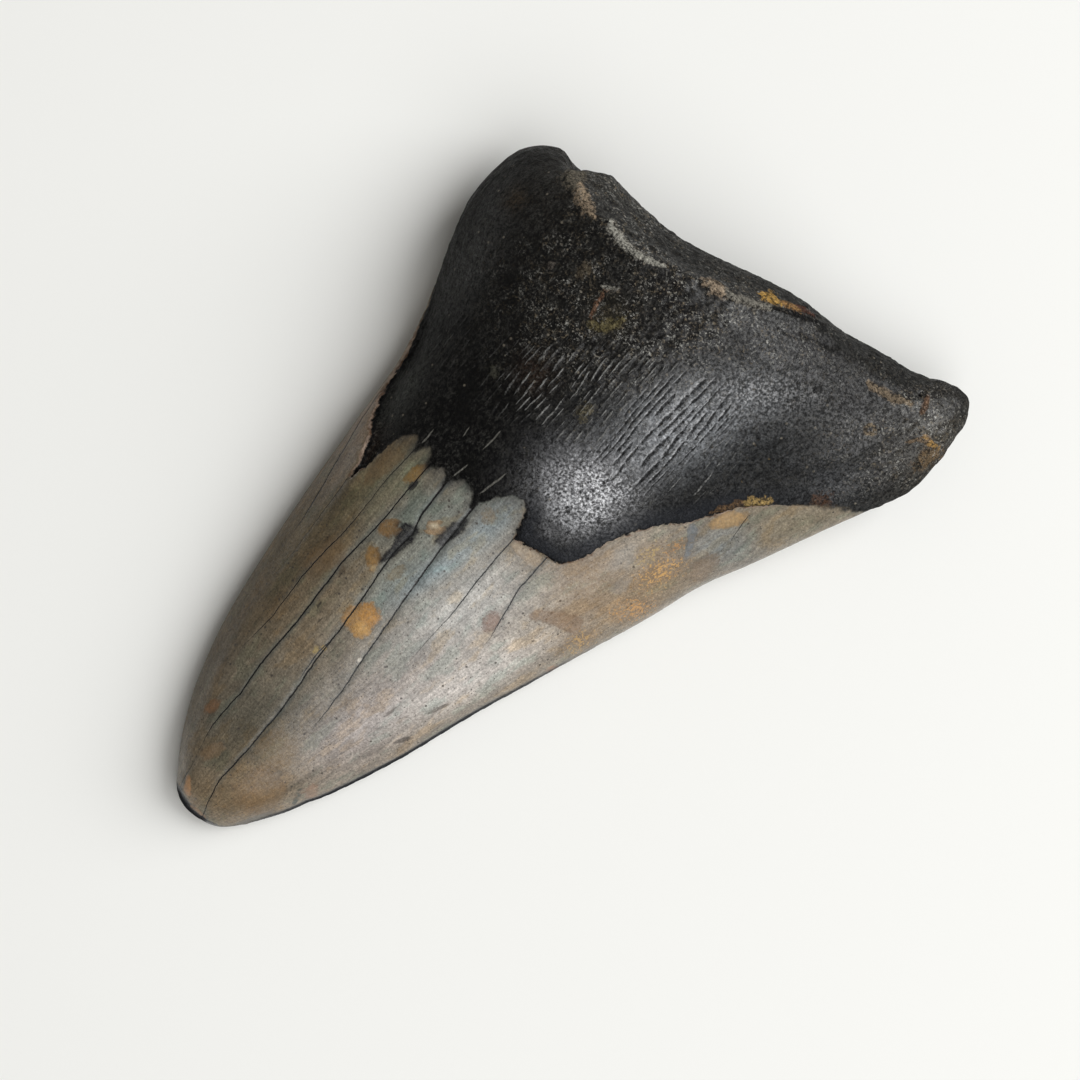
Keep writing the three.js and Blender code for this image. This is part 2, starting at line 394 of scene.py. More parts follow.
    enamel_stains: list[Stain] = [
        Stain(Patch(-3.9, -22.4, 1.9, 2.0, -20), ORANGE, 0.9),
        Stain(Patch(-3.3, -23.8, 1.4, 1.6, 10), (0.46, 0.26, 0.08), 0.9),
        Stain(Patch(-5.3, -23.6, 1.3, 1.9, 0), (0.31, 0.17, 0.055), 0.85),
        Stain(Patch(-13.6, -3.2, 0.9, 2.1, -4), (0.19, 0.11, 0.033), 0.85),
        Stain(Patch(-10.7, -11.3, 1.2, 1.8, -10), (0.165, 0.085, 0.022), 0.8),
        Stain(Patch(-9.4, -15.8, 1.0, 1.8, 35), (0.21, 0.115, 0.032), 0.85),
        Stain(Patch(-8.6, -16.6, 0.6, 0.6, 0), (0.42, 0.31, 0.17), 0.8),
        Stain(Vein([(-6.3, -5.7), (-6.9, -6.1), (-7.0, -6.9), (-6.4, -7.5), (-5.7, -7.1),
                    (-5.6, -6.2), (-6.3, -5.7)], [0.38, 0.36, 0.42, 0.46, 0.36, 0.36, 0.38]),
              (0.29, 0.19, 0.10), 0.8),
        Stain(Patch(-6.3, -6.6, 0.6, 0.75, 0), (0.62, 0.53, 0.38), 0.9),
        Stain(Patch(-2.1, 0.2, 1.1, 1.3, 0), (0.21, 0.16, 0.10), 0.6),
        Stain(Patch(-5.5, -15.0, 0.8, 1.9, -10), (0.19, 0.15, 0.09), 0.6),
        Stain(Patch(-13.9, -20.5, 2.0, 3.4, -8), (0.17, 0.105, 0.05), 0.35),
        Stain(Patch(-17.6, -6.0, 1.2, 4.5, -4), (0.17, 0.11, 0.055), 0.5),
        Stain(Patch(-10.2, -47.6, 0.8, 1.5, -10), (0.20, 0.10, 0.045), 0.7),
        Stain(Patch(-5.6, -52.0, 1.0, 1.9, -10), (0.22, 0.14, 0.075), 0.5),
        Stain(Patch(-4.3, -57.9, 0.5, 1.5, 40), (0.42, 0.24, 0.12), 0.9),
        Stain(Patch(-1.0, -60.3, 1.9, 0.45, 4), (0.42, 0.24, 0.12), 0.75),
        Stain(Patch(3.3, -51.3, 3.4, 4.2, 20), (0.17, 0.105, 0.055), 0.4),
        Stain(Patch(1.0, -45.0, 3.0, 3.0, 20), (0.20, 0.13, 0.06), 0.35),
        Stain(Patch(8.5, -46.3, 0.9, 1.4, 20), (0.27, 0.165, 0.11), 0.6),
        Stain(Vein([(7.9, -49.2), (7.5, -47.8), (6.9, -46.6)], [0.3, 0.4, 0.2]),
              (0.04, 0.05, 0.045), 0.8),
        Stain(Patch(20.2, -9.2, 0.9, 1.3, 0), (0.36, 0.19, 0.10), 0.8),
        Stain(Patch(8.9, -10.2, 1.2, 1.6, 10), (0.19, 0.115, 0.085), 0.8),
        Stain(Vein([(12.6, -5.0), (15.0, -3.0), (17.4, -2.0)], [0.9, 1.3, 1.4]),
              (0.20, 0.125, 0.075), 0.6),
        Stain(Vein([(21.7, 16.2), (20.6, 18.0), (19.3, 19.6)], [0.4, 0.55, 0.7]),
              (0.13, 0.145, 0.16), 0.75),
        Stain(Patch(24.6, 16.9, 1.5, 2.6, -10), (0.17, 0.11, 0.065), 0.5),
        Stain(Patch(15.6, 9.5, 1.6, 2.2, 0), (0.27, 0.27, 0.26), 0.3),
        Stain(Patch(18.2, 6.6, 1.0, 1.9, 0), (0.27, 0.27, 0.26), 0.3),
        Stain(Patch(22.0, 24.2, 1.2, 2.8, -30), (0.34, 0.22, 0.10), 0.85),
        Stain(Patch(5.4, 0.2, 3.0, 0.9, 14), (0.36, 0.275, 0.185), 0.55),
        Stain(Vein([(-4.9, -59.6), (-3.6, -60.9), (-1.5, -61.5), (0.4, -61.3), (2.6, -60.3)],
                   [0.8, 1.3, 1.2, 1.0, 0.6]), SOOT, 1.0),
        Stain(Patch(-8.5, -10.2, 1.5, 1.9, -6), SOOT, 1.0),
        Stain(Patch(-8.7, -10.8, 0.9, 1.1, -6), SOOT, 1.0),
        Stain(Patch(-7.9, -12.8, 0.8, 3.0, -6), SOOT, 0.95),
        Stain(Patch(-4.1, -5.2, 0.95, 2.8, -8), SOOT, 0.95),
        Stain(Patch(-12.6, -4.6, 0.5, 1.0, 0), SOOT, 0.9),
        Stain(Patch(-15.7, -18.5, 0.3, 0.6, 0), SOOT, 0.8),
        Stain(Patch(-8.4, -27.6, 0.35, 0.6, 0), SOOT, 0.9),
        Stain(Patch(-9.9, -26.0, 0.3, 0.4, 0), SOOT, 0.8),
        Stain(Patch(-10.6, -20.5, 0.35, 0.7, 0), SOOT, 0.6),
        Stain(Patch(12.2, -31.6, 0.3, 1.5, -24), (0.06, 0.05, 0.045), 0.75),
        Stain(Patch(8.2, -29.4, 0.3, 1.5, -12), (0.07, 0.055, 0.045), 0.7),
        Stain(Patch(12.6, -24.6, 0.28, 2.4, -20), (0.07, 0.06, 0.05), 0.65),
        Stain(Patch(-5.8, -30.9, 0.65, 0.6, 0), (0.36, 0.27, 0.10), 0.6),
        Stain(Patch(-5.0, -29.8, 0.4, 0.4, 0), (0.40, 0.28, 0.10), 0.7),
        Stain(Patch(-0.2, -27.4, 0.35, 0.4, 0), (0.62, 0.58, 0.50), 0.9),
    ]
    # Where the enamel's stain has broken up into grains
    granules: list[Stain] = [
        Stain(Patch(20.6, 12.0, 2.6, 5.2, -16), (0.50, 0.29, 0.10), 0.85),
        Stain(Patch(17.6, 12.8, 2.0, 3.4, -16), (0.44, 0.32, 0.14), 0.6),
        Stain(Patch(21.9, 5.6, 2.2, 4.2, -30), (0.46, 0.25, 0.09), 0.85),
        Stain(Patch(19.8, -3.2, 2.0, 3.6, -14), (0.42, 0.27, 0.11), 0.8),
        Stain(Patch(19.5, 16.0, 1.2, 3.0, -16), (0.40, 0.22, 0.09), 0.7),
        Stain(Patch(14.5, 3.5, 5.0, 7.0, 0), (0.28, 0.20, 0.12), 0.35),
    ]

    deposits: list[Stain] = [
        Stain(Vein([(-28.0, 42.7), (-27.4, 41.0), (-26.3, 40.5)], [1.25, 1.48, 0.78]),
              (0.17, 0.15, 0.115), 0.85),
        Stain(Vein([(-26.1, 40.8), (-24.4, 40.0), (-23.0, 39.5), (-21.8, 39.1)],
                   [0.85, 0.95, 0.85, 0.47]), (0.34, 0.265, 0.185), 0.95),
        Stain(Vein([(-19.5, 40.3), (-17.7, 39.6), (-15.5, 39.3), (-13.3, 39.7), (-11.4, 40.4),
                    (-9.8, 41.2)], [0.61, 0.68, 0.58, 0.50, 0.43, 0.36]), ASH, 1.0),
        Stain(Vein([(-4.2, 43.9), (-2.8, 44.4), (-1.6, 44.7)], [0.7, 1.0, 0.75]),
              (0.34, 0.265, 0.19), 0.9),
        Stain(Vein([(-1.6, 45.0), (-0.4, 45.0), (1.0, 45.9), (3.0, 47.0), (4.5, 48.1)],
                   [0.42, 0.51, 0.55, 0.55, 0.47]), (0.25, 0.235, 0.2), 0.85),
        Stain(Vein([(2.8, 48.8), (3.6, 49.3), (4.8, 49.7)], [0.7, 0.94, 0.62]), GOLD, 0.95),
        Stain(Vein([(4.6, 49.7), (6.1, 50.4), (7.4, 51.1)], [0.47, 0.55, 0.39]),
              (0.36, 0.20, 0.075), 0.8),
        Stain(Vein([(7.1, 51.3), (8.3, 51.7), (9.4, 52.0)], [0.55, 0.55, 0.39]),
              (0.11, 0.045, 0.03), 0.8),
        Stain(Vein([(-13.9, 33.4), (-12.8, 33.9), (-12.2, 34.7)], [0.2, 0.27, 0.2]), ASH, 0.9),
        Stain(Vein([(-13.0, 33.4), (-12.8, 32.3), (-12.5, 30.8), (-11.9, 29.2)],
                   [0.27, 0.27, 0.31, 0.23]), (0.22, 0.12, 0.075), 0.8),
        Stain(Vein([(-11.0, 28.7), (-9.9, 29.5), (-8.9, 30.9), (-8.5, 32.3)],
                   [0.62, 0.86, 0.78, 0.47]), (0.16, 0.135, 0.065), 0.75),
        Stain(Patch(-17.1, 33.2, 0.9, 1.2, 0), (0.14, 0.115, 0.08), 0.7),
        Stain(Patch(-20.8, 30.5, 0.5, 0.6, 0), (0.17, 0.15, 0.13), 0.7),
        Stain(Patch(-16.1, 14.6, 0.9, 1.1, 30), (0.08, 0.078, 0.06), 0.7),
        Stain(Patch(-3.0, 19.7, 0.9, 1.6, 10), (0.16, 0.14, 0.09), 0.7),
        Stain(Vein([(21.6, 51.5), (22.8, 51.7), (23.7, 52.1), (25.5, 52.5), (26.8, 53.4),
                    (28.0, 54.0)], [0.39, 0.55, 0.62, 0.62, 0.55, 0.39]), (0.27, 0.21, 0.145), 0.8),
        Stain(Vein([(25.9, 46.7), (26.7, 46.5), (27.3, 47.2), (26.8, 48.0), (26.0, 47.8),
                    (25.8, 47.0)], [0.27, 0.23, 0.27, 0.23, 0.27, 0.23]), (0.28, 0.22, 0.15), 0.8),
        Stain(Vein([(29.0, 56.7), (29.7, 55.5), (30.1, 54.3)], [0.31, 0.47, 0.23]),
              (0.20, 0.115, 0.07), 0.6),
        Stain(Vein([(31.6, 50.0), (32.5, 51.6), (33.5, 52.3)], [0.23, 0.31, 0.62]),
              (0.27, 0.19, 0.12), 0.75),
        Stain(Vein([(33.2, 52.2), (34.4, 52.5), (35.4, 53.0)], [0.55, 0.47, 0.39]),
              (0.42, 0.25, 0.08), 0.8),
        Stain(Patch(35.4, 50.8, 1.2, 2.4, -10), (0.24, 0.16, 0.085), 0.6),
        Stain(Vein([(19.2, 23.0), (20.2, 25.0), (21.4, 27.0)], [0.3, 0.6, 0.5]),
              (0.15, 0.09, 0.045), 0.8),
        Stain(Vein([(22.0, 27.6), (22.9, 28.9), (24.0, 30.2)], [0.7, 0.9, 0.45]),
              (0.42, 0.29, 0.11), 0.9),
        Stain(Patch(29.3, 35.8, 1.1, 1.5, -40), (0.13, 0.065, 0.035), 0.6),
        # Painted shadow: a black line along the furrow under the ridge's right end, in the soot
        # colour
        Stain(Vein([(4.2, 48.0), (7.2, 49.8), (11.7, 52.4)], [0.2, 0.35, 0.2]), SOOT, 0.6),
    ]
    pores: list[Patch] = [Patch(17.4, 45.2, 0.36, 0.36), Patch(28.2, 56.2, 0.32, 0.32)]


class Zones:
    """Soft ovals that say where the tooth's relief, grain and wear are."""

    # Each swell's amount is its height in mm, and each chip's and hollow's is its depth
    swells: list[Patch] = [
        Patch(13.0, -38.0, 2.2, 14.0, -17, 0.5),
        Patch(20.5, -8.0, 2.2, 16.0, -14, 0.25),
        Patch(-4.4, -58.8, 2.0, 3.0, 0, 0.7),
        Patch(-29.4, 43.8, 1.4, 1.4, 0, -1.0),
        Patch(-24.4, 45.4, 2.0, 1.4, 0, 0.6),
    ]
    chips: list[Patch] = [
        Patch(-4.2, -60.4, 1.6, 1.3, -30, 0.2),
        Patch(0.4, -61.4, 2.4, 0.8, 12, 0.2),
        Patch(8.9, -48.0, 1.2, 1.6, -25, 0.2),
    ]
    behind_ridge: Patch = Patch(-14.0, 44.6, 9.0, 2.4, 4, 0.5)

    # From here on, an amount is how strong the zone is. Along the enamel's edge are rounded
    # fingers that fade into the root, a blurred corner, the root's crisp lips, and a torn place.
    fingers: list[Patch] = [Patch(-11.5, 1.5, 9.0, 5.0, 8, 1.4)]
    blurred: Patch = Patch(31.0, 36.0, 3.5, 5.0)
    lips: list[Patch] = [Patch(7.5, 4.0, 7.0, 7.0, 0, 1.5), Patch(19.0, 20.0, 6.0, 11.0, -35, 1.5)]
    torn: list[Patch] = [Patch(-24.0, 2.0, 5.5, 13.0, 22, 1.6)]

    # On the root: worn and glossy, with a grey sheen painted into the colour; coarse-grained and
    # dull; pitted; striated or not
    worn: list[Patch] = [
        Patch(4.6, 11.2, 6.4, 5.2, 0, 1.0),
        Patch(7.5, 18.0, 5.0, 6.0, 0, 0.55),
        Patch(6.5, 28.5, 6.5, 8.5, -25, 0.8),
        Patch(13.0, 40.0, 4.0, 8.5, -45, 0.6),
        Patch(26.0, 45.0, 7.0, 7.0, 20, 0.35),
    ]
    grainy: list[Patch] = [
        Patch(-10.0, 31.0, 14.0, 10.0, 10, 1.2),
        Patch(2.0, 44.0, 16.0, 7.0, 28, 0.84),
        Patch(32.0, 52.0, 7.0, 8.0, 0, 1.2),
        Patch(-21.0, 45.0, 9.0, 5.0, 0, 1.2),
        Patch(27.0, 42.0, 8.0, 7.0, 0, 0.3),
    ]
    pitted: list[Patch] = [
        Patch(4.8, 11.4, 6.6, 5.2, -5, 1.3),
        Patch(13.0, 24.0, 11.0, 12.0, -20, 0.715),
        Patch(16.0, 38.0, 10.0, 6.0, 25, 0.65),
    ]
    striated: list[Patch] = [
        Patch(-3.0, 21.0, 18.5, 9.0, 26, 1.0),
        Patch(7.0, 27.0, 9.5, 9.5, 10, 0.95),
        Patch(-26.0, 18.0, 4.0, 14.0, 20, 0.3),
    ]
    unstriated: Patch = Patch(4.5, 8.5, 8.0, 5.5, 0, 1.3)
    finest_mesh: Patch = Patch(6.5, 12.0, 9.0, 10.0)


class Tints:
    """The colours of the enamel and the root, laid on in soft patches, a few of which are painted
    highlight, sheen or shade.
    """

    enamel_base: Colour = (0.18, 0.148, 0.108)
    enamel: list[Tint] = [
        # Brown enamel on the left flank, darkened further by painted shade where it faces away from
        # the lamps
        Tint(Patch(-20, -22, 6.5, 26, 6, 1.0), (0.105, 0.078, 0.042)),
        Tint(Patch(-24.5, 0, 2.6, 14, 14, 0.9), (0.235, 0.185, 0.145)),
        Tint(Patch(-16.8, -8, 2.6, 14, -5, 0.9), (0.095, 0.072, 0.036)),
        Tint(Patch(-14.2, -24, 2.6, 16, -4, 0.7), (0.10, 0.07, 0.038)),
        Tint(Patch(-15.0, -5, 2.2, 8, 0, 0.9), (0.18, 0.165, 0.11)),
        Tint(Patch(-10.5, -9, 2.2, 10, -4, 0.8), (0.135, 0.148, 0.13)),
        Tint(Patch(-10.0, -26, 3.0, 9, -6, 0.7), (0.16, 0.12, 0.072)),
        Tint(Patch(-6.6, -5, 2.4, 9, -4, 0.85), (0.15, 0.163, 0.145)),
        Tint(Patch(-4.5, -15, 2.6, 8, -8, 0.8), (0.19, 0.215, 0.20)),
        Tint(Patch(-1.6, -11, 1.8, 9, -8, 0.85), (0.19, 0.235, 0.25)),
        Tint(Patch(-1.0, 0, 2.6, 6, -4, 0.85), (0.18, 0.22, 0.235)),
        Tint(Patch(2.2, -14, 2.6, 16, -8, 0.7), (0.205, 0.205, 0.19)),
        Tint(Patch(8.0, -13, 5.0, 18, -10, 0.9), (0.275, 0.245, 0.22)),
        # Painted highlight on the crown's right half, where its slope faces the lamps
        Tint(Patch(5.0, -11, 3.6, 9, -8, 0.85), (0.42, 0.41, 0.385)),
        Tint(Patch(6.5, -34, 5.0, 10, -8, 0.8), (0.265, 0.232, 0.222)),
        # Painted highlight along the crown's lower right
        Tint(Patch(12.8, -18, 3.0, 15, -15, 0.85), (0.54, 0.505, 0.475)),
        Tint(Patch(9.5, 0.5, 6.0, 4, 0, 0.5), (0.25, 0.205, 0.15)),
        Tint(Patch(15.5, 3, 3.6, 12, -16, 0.8), (0.37, 0.335, 0.285)),
        Tint(Patch(20.5, 9, 3.0, 12, -18, 0.8), (0.235, 0.165, 0.095)),
        Tint(Patch(24.0, 21, 3.2, 6, -30, 1.0), (0.168, 0.178, 0.175)),
        Tint(Patch(29.5, 31, 3.2, 7, -38, 0.9), (0.195, 0.165, 0.115)),
        Tint(Patch(-4.5, -44, 7.0, 10, -4, 0.85), (0.086, 0.078, 0.058)),
        Tint(Patch(-3.2, -48, 3.2, 6, 0, 0.75), (0.072, 0.065, 0.046)),
        Tint(Patch(0.2, -34, 2.8, 6, -6, 0.6), (0.16, 0.142, 0.118)),
        Tint(Patch(2.0, -52, 5.0, 6, 0, 0.9), (0.165, 0.115, 0.06)),
        Tint(Patch(-1.5, -57.6, 5.0, 3, 0, 0.7), (0.19, 0.135, 0.075)),
    ]
    bone_base: Colour = (0.0038, 0.0036, 0.0032)
    bone: list[Tint] = [
        Tint(Patch(22, 39, 14, 12, 20, 0.85), (0.030, 0.031, 0.032)),
        Tint(Patch(22, 29, 3.0, 9, -38, 0.6), (0.050, 0.051, 0.053)),
        # Painted sheen: a pale grey-blue band where the worn root slopes towards the lamps
        Tint(Patch(8.0, 28, 5.5, 11, -25, 0.95), (0.265, 0.28, 0.30)),
        # The swelling by the enamel: partly its own pale grey, partly a painted sheen, with a painted
        # highlight at its brightest spot
        Tint(Patch(4.2, 11.4, 6.4, 5.6, 10, 1.0), (0.52, 0.525, 0.55)),
        Tint(Patch(5.4, 8.8, 2.6, 2.4, 0, 0.6), (0.64, 0.65, 0.68)),
        Tint(Patch(-30, 38, 8.0, 9, 0, 0.7), (0.020, 0.018, 0.015)),
        # Painted sheen on the root's left flank
        Tint(Patch(-30, 23, 3.4, 11, 18, 0.85), (0.080, 0.081, 0.080)),
        Tint(Patch(33.5, 52, 4.5, 7.0, 0, 0.95), (0.082, 0.075, 0.06)),
        Tint(Patch(2.0, 48, 14, 2.6, 22, 0.6), (0.022, 0.021, 0.019)),
        Tint(Patch(-31.3, 33.7, 1.6, 1.8, 0, 0.8), (0.060, 0.040, 0.020)),
        Tint(Patch(28.5, 38.5, 5.5, 4.0, 40, 0.8), (0.085, 0.088, 0.094)),
        # Painted shade at the right end of the furrow under the ridge
        Tint(Patch(13.0, 51.7, 5.0, 2.6, 30, 0.85), (0.007, 0.007, 0.007)),
        Tint(Patch(10.6, 10.8, 2.0, 3.6, -8, 0.7), (0.17, 0.172, 0.18)),
        Tint(Patch(-22.0, 45.0, 6.0, 3.0, 10, 0.6), (0.055, 0.053, 0.047)),
        Tint(Patch(-12.0, 18.7, 2.6, 2.6, 0, 0.7), (0.035, 0.018, 0.010)),
        Tint(Patch(-10.5, 31.5, 3.0, 2.5, 20, 0.6), (0.045, 0.036, 0.018)),
        Tint(Patch(-21.2, -4.5, 1.2, 4.0, 14, 0.9), (0.040, 0.024, 0.016)),
        Tint(Patch(-23.4, 3.0, 2.0, 6.0, 14, 0.9), (0.080, 0.084, 0.076)),
    ]


# ---------------------------------------------------------------- the tooth


@dataclass
class Surface:
    """The corners of the tooth, where they are and which way they face, in mm."""

    places: Array
    normals: Array

    def __post_init__(self) -> None:
        """Works out what the carving asks for again and again."""
        self.plan = self.places[:, :2]
        self.domed = smooth_step(self.normals[:, 2], -0.35, 0.05)

    def zone(self, patches: list[Patch]) -> Array:
        """Joins soft ovals into one mask on the domed face, 1 well inside and 0 outside."""
        return np.clip(sum(patch.glow(self.plan) for patch in patches), 0, 1) * self.domed


@dataclass
class Striations:
    """The root's short parallel lines, which stand in columns of runs.

    The wave passes through 0 on each column, and the lee is lowest just beside it, where a painted
    highlight goes. The run is above 0 along each line, and the strength is from 0 to 1.
    """

    wave: Array
    lee: Array
    run: Array
    strength: Array

    def lines(self) -> Array:
        """How strongly a line is raised or sunk at each corner, from 0 to 1."""
        narrow = smooth_step(np.abs(self.wave), 0.6, 0.1)
        return narrow * smooth_step(self.run, -0.05, 0.25) * self.strength


def rows_of(items: bpy.types.bpy_prop_collection, name: str) -> Array:
    """Reads a vector that every corner or face of a mesh has.

    Args:
        items: the mesh's corners or faces.
        name: the vector's name.

    Returns:
        One row of x, y and z for each of them.
    """
    values = np.zeros(len(items) * 3)
    items.foreach_get(name, values)
    return values.reshape(-1, 3)


def strongest(stains: list[Stain], surface: Surface) -> tuple[Array, Array]:
    """Joins several stains into one field and one colour.

    Args:
        stains: the stains.
        surface: the tooth's corners.

    Returns:
        The deepest field at each corner, sunk to -1 on the flat face, and the colour and cover
        of the stain that it belongs to.
    """
    fields = np.array([stain.shape.field(surface.plan) for stain in stains])
    chosen = np.argmax(fields, axis=0)
    deepest = np.clip(fields[chosen, np.arange(len(chosen))], -1.0, 1.0)
    colours = np.array([(*stain.colour, stain.cover) for stain in stains])
    return deepest * surface.domed - (1.0 - surface.domed), colours[chosen]


@dataclass
class FossilTooth:
    """The tooth: rough-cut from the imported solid, refined, carved, and marked for its finish."""

    grid: float = 0.00086
    merge_gap: float = 0.000001
    smooth_levels: int = 2
    broad_lumps: float = 0.24
    root_lip: float = 0.45
    torn_step: float = 0.8
    striation_depth: float = 0.2
    striation_gap: float = 0.88
    pit_depth: float = 0.1
    crack_depth: float = 0.09
    ridge_height: float = 0.5
    furrow_depth: float = 0.15
    crust_height: float = 0.2
    pore_depth: float = 0.7
    noise: SolidNoise = field(default_factory=lambda: SolidNoise(11))

    def build(self) -> bpy.types.Object:
        """Makes the finished mesh.

        Returns:
            The tooth's object, at the origin, with its marks as attributes.
        """
        base = self.copy_of_solid("tooth_base")
        self.round_off(base)
        piece = self.refined(base)
        bpy.data.objects.remove(base)
        self.carve(piece)
        return piece

    def copy_of_solid(self, name: str) -> bpy.types.Object:
        """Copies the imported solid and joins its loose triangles.

        Args:
            name: the copy's name.

        Returns:
            The copy, selected and active.
        """
        bpy.ops.object.select_all(action="DESELECT")
        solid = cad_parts[NODE]
        solid.select_set(True)
        bpy.context.view_layer.objects.active = solid
        bpy.ops.object.duplicate()
        piece = bpy.context.view_layer.objects.active
        piece.name = name
        piece.parent = None
        piece.data.materials.clear()
        for key in list(piece.keys()):
            del piece[key]
        bpy.ops.object.mode_set(mode="EDIT")
        bpy.ops.mesh.select_all(action="SELECT")
        bpy.ops.mesh.remove_doubles(threshold=self.merge_gap)
        bpy.ops.mesh.tris_convert_to_quads(face_threshold=3.14, shape_threshold=3.14)
        bpy.ops.mesh.customdata_custom_splitnormals_clear()
        bpy.ops.object.mode_set(mode="OBJECT")
        return piece

    def round_off(self, piece: bpy.types.Object) -> None:
        """Smooths the solid's flats away, and gives back the size that this takes off.

        Args:
            piece: the object to smooth.
        """
        places = self.corners(piece)
        low, high = places.min(axis=0), places.max(axis=0)
        self.apply(piece, "SUBSURF", levels=self.smooth_levels, render_levels=self.smooth_levels)
        places = self.corners(piece)
        share = (places - places.min(axis=0)) / np.ptp(places, axis=0)
        piece.data.vertices.foreach_set("co", (low + share * (high - low)).ravel())
        piece.data.update()

    def corners(self, piece: bpy.types.Object) -> Array:
        """Reads a piece's corners, in metres."""
        return rows_of(piece.data.vertices, "co")

    def apply(self, piece: bpy.types.Object, kind: str, **settings: object) -> None:
        """Adds a modifier to a piece and applies it.

        Args:
            piece: the object.
            kind: the modifier's type.
            **settings: the modifier's values.
        """
        bpy.ops.object.select_all(action="DESELECT")
        piece.select_set(True)
        bpy.context.view_layer.objects.active = piece
        modifier = piece.modifiers.new(kind.lower(), kind)
        for name, value in settings.items():
            setattr(modifier, name, value)
        bpy.ops.object.modifier_apply(modifier=modifier.name)

    def refined(self, base: bpy.types.Object) -> bpy.types.Object:
        """Copies the smooth base as an even grid, finer where the surface has fine relief.

        Args:
            base: the smooth base.

        Returns:
            The new object.
        """
        bpy.ops.object.select_all(action="DESELECT")
        base.select_set(True)
        bpy.context.view_layer.objects.active = base
        bpy.ops.object.duplicate()
        piece = bpy.context.view_layer.objects.active
        piece.name = "fossil_tooth"
        self.apply(piece, "REMESH", mode="VOXEL", voxel_size=self.grid)
        self.apply(piece, "SMOOTH", factor=0.5, iterations=3)
        self.hug(piece, base)
        self.cut_finer(piece)
        self.hug(piece, base)
        return piece

    def cut_finer(self, piece: bpy.types.Object) -> None:
        """Cuts faces in four where the striations run, and in less round the other relief.

        Args:
            piece: the even grid.
        """
        faces = piece.data.polygons
        surface = Surface(rows_of(faces, "center") / MM, rows_of(faces, "normal"))
        upper = surface.normals[:, 2] > 0.1
        side = self.enamel_side(surface)
        crack, openness = self.crack_sides(Marks.cracks, surface)
        detailed = self.striations(surface).strength > 0.15
        detailed |= Zones.finest_mesh.field(surface.plan) > 0
        fine = upper & (side < 0.6) & detailed
        fine |= (np.abs(side) < 0.7) & (self.torn(surface) > 0.2)
        for pore in Marks.pores:
            fine |= upper & (pore.field(surface.plan) > -2.0)
        middle = upper & (np.abs(side) < 0.8) & (np.abs(surface.plan[:, 0]) < 28)
        middle |= upper & (np.abs(crack) < 0.5) & (openness > 0.0)
        middle |= surface.plan[:, 1] < -58.0
        middle |= (self.right_edge(surface) > 0.0) & (side > 0.0)
        coarse = (surface.normals[:, 2] > 0.15) & (side < 0.6)
        numbers = np.select([fine, middle, coarse], [3, 2, 1], 0)
        faces.foreach_set("material_index", numbers.astype(np.int32))
        for cuts in (1, 2, 3):
            self.cut_faces(piece, cuts)
        piece.data.polygons.foreach_set(
            "material_index", np.zeros(len(piece.data.polygons), np.int32)
        )

    def cut_faces(self, piece: bpy.types.Object, cuts: int) -> None:
        """Cuts the edges of some of the faces.

        Args:
            piece: the even grid.
            cuts: how many cuts each edge gets. A face is cut if this is its material number.
        """
        bpy.ops.object.mode_set(mode="EDIT")
        bpy.ops.mesh.select_mode(type="FACE")
        bpy.ops.mesh.select_all(action="DESELECT")
        bpy.ops.object.mode_set(mode="OBJECT")
        numbers = np.zeros(len(piece.data.polygons), np.int32)
        piece.data.polygons.foreach_get("material_index", numbers)
        piece.data.polygons.foreach_set("select", numbers == cuts)
        bpy.ops.object.mode_set(mode="EDIT")
        bpy.ops.mesh.subdivide(number_cuts=cuts)
        bpy.ops.object.mode_set(mode="OBJECT")

    def hug(self, piece: bpy.types.Object, base: bpy.types.Object) -> None:
        """Draws a piece's corners onto the smooth base."""
        self.apply(piece, "SHRINKWRAP", target=base, wrap_method="NEAREST_SURFACEPOINT")

    # ------------------------------------------------------------ carving

    def carve(self, piece: bpy.types.Object) -> None:
        """Carves the surface and stores its marks.

        Args:
            piece: the refined tooth.
        """
        mesh = piece.data
        surface = Surface(self.corners(piece) / MM, rows_of(mesh.vertices, "normal"))
        side = self.enamel_side(surface)
        striations = self.striations(surface)
        pits, pitted = self.pits(surface)
        height = self.broad_relief(surface, side) + self.edge_relief(surface, side)
        height += self.root_relief(surface, side, striations.lines(), pits * pitted)
        height += self.crown_relief(surface, side)
        resting = smooth_step(surface.places[:, 2], 0.0, 0.6)
        height *= np.maximum(resting, surface.domed)
        moved = surface.places + surface.normals * height[:, None]
        moved[:, 2] = np.maximum(moved[:, 2], 0.0)
        mesh.vertices.foreach_set("co", (moved * MM).ravel())
        mesh.update()
        mesh.shade_smooth()
        numbers = {
            "enamel_side": side,
            "edge_softness": self.edge_softness(surface),
            "ridges": striations.wave,
            "ridge_lee": striations.lee,
            "ridge_runs": striations.run,
            "ridge_zone": striations.strength,
            "pits": pits,
            "pitted": pitted,
            "grainy": surface.zone(Zones.grainy),
            "sheen": surface.zone(Zones.worn),
            "fingers": surface.zone(Zones.fingers),
            "polish": self.polish(surface, side),
            "lip": self.lip(surface),
            "torn": self.torn(surface),
            "fan": self.fan(surface),
            "cutting_edge": self.cutting_edge(surface),
            "pores": np.max([pore.field(surface.plan) for pore in Marks.pores], axis=0),
        }
        for name, cracks in (
            ("crack", Marks.cracks),
            ("strand", Marks.strands),
            ("scratch", Marks.scratches),
        ):
            numbers[name + "_side"], numbers[name + "_open"] = self.crack_sides(cracks, surface)
        for name, values in numbers.items():
            self.store(mesh, name, values)
        self.store_colours(mesh, surface)

